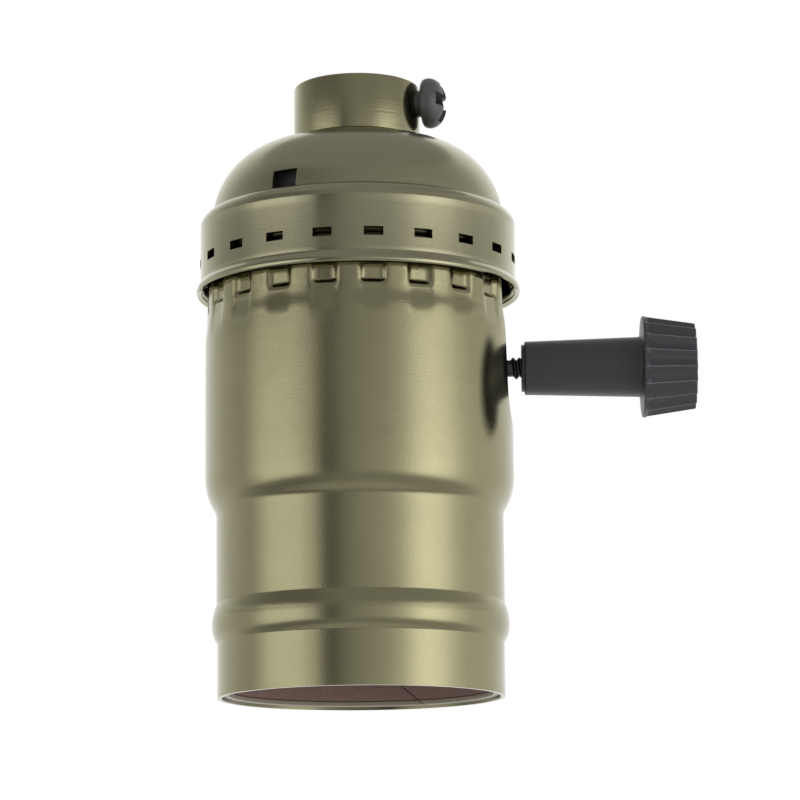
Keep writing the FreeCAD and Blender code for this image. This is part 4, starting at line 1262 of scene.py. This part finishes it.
class LAMPHOLDER_OT_stage(bpy.types.Operator):
    """Make the floor, the wall of light and the camera"""

    bl_idname = "lampholder.stage"
    bl_label = "Stage"

    def floor(self, stage):
        """Pale floor, plain beyond the wall of light and clear to a camera below it."""
        bm = bmesh.new()
        bmesh.ops.create_grid(bm, x_segments=1, y_segments=1, size=stage.floor_size)
        shift(bm, (0, 0, MOUTH - stage.floor_drop))
        material, recipe = new_finish("pale_floor")
        pale = recipe.node("ShaderNodeBsdfDiffuse", None, {"Color": PALE})["BSDF"]
        clear = recipe.node("ShaderNodeBsdfTransparent")["BSDF"]
        under = recipe.node("ShaderNodeNewGeometry")["Backfacing"]
        seen = recipe.seen()
        parts = recipe.axes()
        reach = (parts["X"] ** 2 + parts["Y"] ** 2) ** 0.5
        wall = stage.wall_distance
        far = recipe.between(reach, wall * stage.plain_start, wall * stage.plain_end)
        shown = recipe.mix(far * seen, pale, recipe.emission(PALE, 1.0))
        recipe.close(recipe.mix(under * seen, shown, clear))
        add_object("pale_floor", bm, material)

    def glowing(self, name, bm, strength, pattern=None):
        """Stage piece that lights the object but is not seen by the camera."""
        material, recipe = new_finish(name)
        light = recipe.emission(pattern(recipe) if pattern else WHITE, strength)
        clear = recipe.node("ShaderNodeBsdfTransparent")["BSDF"]
        recipe.close(recipe.mix(recipe.seen(), light, clear))
        add_object(name, bm, material)

    def wall(self, stage):
        """Round wall with bright and dark strips, and an even lid."""
        reach = stage.wall_distance
        foot = MOUTH - stage.floor_drop
        tall = stage.floor_drop + stage.wall_height
        bm = bmesh.new()
        bmesh.ops.create_cone(bm, cap_ends=False, segments=96, radius1=reach, radius2=reach, depth=tall)
        shift(bm, (0, 0, foot + tall / 2))
        self.glowing("round_wall", bm, 1.0, lambda recipe: self.strips(recipe, stage))
        bm = bmesh.new()
        bmesh.ops.create_circle(bm, cap_ends=True, segments=96, radius=reach)
        shift(bm, (0, 0, foot + tall))
        self.glowing("wall_lid", bm, stage.top_glow)

    def strips(self, recipe, stage):
        """Glow of the wall by direction from the camera's side, right positive, and by height."""
        parts = recipe.axes()
        around = parts["X"].maths("ARCTAN2", parts["X"], 0.0 - parts["Y"])
        turned = (around - stage.camera_azimuth) / FULL_TURN + 0.5
        strips = self.by_direction(recipe, turned, WALL_STRIPS) * stage.wall_glow
        even = self.by_direction(recipe, turned, EVEN_STRIPS) * stage.even_glow
        low = STRIP_RISE[0][0] * MM
        reach = STRIP_RISE[-1][0] * MM - low
        rise = (parts["Z"] - MOUTH - low) / reach
        fade = recipe.ramp(rise, [((height * MM - low) / reach, level) for height, level in STRIP_RISE])
        return (strips - even) * fade + even

    def by_direction(self, recipe, turned, strips):
        """Glow by direction, read from a list of directions in degrees and glows."""
        brightest = max(glow for degrees, glow in strips)
        levels = [(degrees / 360 + 0.5, glow / brightest) for degrees, glow in strips]
        return recipe.ramp(turned, levels) * brightest

    def world(self, stage):
        """White surroundings, dimmer as a light than as a background."""
        world = bpy.data.worlds.new("white_studio")
        bpy.context.scene.world = world
        world.use_nodes = True
        recipe = Recipe(world.node_tree)
        path = recipe.node("ShaderNodeLightPath")
        seen = path["Is Camera Ray"] + path["Is Glossy Ray"] + path["Is Transmission Ray"]
        seen = recipe.node("ShaderNodeClamp", None, {"Value": seen})["Result"]
        light, plain = (
            recipe.node("ShaderNodeBackground", None, {"Color": WHITE, "Strength": glow})["Background"]
            for glow in (stage.world_light, 1.0)
        )
        recipe.node("ShaderNodeOutputWorld", None, {"Surface": recipe.mix(seen, light, plain)})

    def camera(self, stage):
        """Camera below the mouth, tilted up at the object."""
        data = bpy.data.cameras.new("photo_camera")
        data.lens = stage.focal_length
        data.sensor_width = 36.0
        data.sensor_fit = "HORIZONTAL"
        data.clip_start = 0.01
        data.clip_end = 20.0
        camera = bpy.data.objects.new("photo_camera", data)
        bpy.context.scene.collection.objects.link(camera)
        at = stage.camera_azimuth
        reach = stage.camera_distance
        camera.location = (reach * math.sin(at), -reach * math.cos(at), MOUTH - stage.camera_drop)
        swing = Matrix.Rotation(at - stage.camera_yaw, 3, "Z")
        tilt = Matrix.Rotation(math.pi / 2 + stage.camera_pitch, 3, "X")
        roll = Matrix.Rotation(-stage.camera_roll, 3, "Z")
        camera.rotation_euler = (swing @ tilt @ roll).to_euler()
        bpy.context.scene.camera = camera

    def execute(self, context):
        stage = context.scene.stage_settings
        context.scene.view_settings.view_transform = "Standard"
        self.floor(stage)
        self.wall(stage)
        self.world(stage)
        self.camera(stage)
        return {"FINISHED"}


class LAMPHOLDER_PT_panel(bpy.types.Panel):
    """Buttons for the pieces of the lamp holder"""

    bl_idname = "LAMPHOLDER_PT_panel"
    bl_label = "Lamp holder"
    bl_space_type = "VIEW_3D"
    bl_region_type = "UI"
    bl_category = "Lamp holder"

    def draw(self, context):
        for operator in OPERATORS:
            self.layout.operator(operator.bl_idname)


GROUPS = {
    "shell_sizes": ShellSizes,
    "cap_sizes": CapSizes,
    "neck_sizes": NeckSizes,
    "knob_sizes": KnobSizes,
    "inside_sizes": InsideSizes,
    "finish_settings": FinishSettings,
    "stage_settings": StageSettings,
}
OPERATORS = (
    LAMPHOLDER_OT_stage,
    LAMPHOLDER_OT_shell,
    LAMPHOLDER_OT_cap,
    LAMPHOLDER_OT_neck,
    LAMPHOLDER_OT_set_screw,
    LAMPHOLDER_OT_knob,
    LAMPHOLDER_OT_spindle,
    LAMPHOLDER_OT_liner,
    LAMPHOLDER_OT_screw_shell,
    LAMPHOLDER_OT_inner_pieces,
)


def register():
    """Register the settings, the operators and the panel."""
    for name, group in GROUPS.items():
        bpy.utils.register_class(group)
        setattr(bpy.types.Scene, name, PointerProperty(type=group))
    for operator in OPERATORS:
        bpy.utils.register_class(operator)
    bpy.utils.register_class(LAMPHOLDER_PT_panel)


def unregister():
    """Take everything back out."""
    bpy.utils.unregister_class(LAMPHOLDER_PT_panel)
    for operator in reversed(OPERATORS):
        bpy.utils.unregister_class(operator)
    for name, group in GROUPS.items():
        delattr(bpy.types.Scene, name)
        bpy.utils.unregister_class(group)


def main():
    """Build every piece."""
    register()
    make_finishes(bpy.context.scene)
    for operator in OPERATORS:
        group, action = operator.bl_idname.split(".")
        getattr(getattr(bpy.ops, group), action)()


if __name__ == "__main__":
    main()
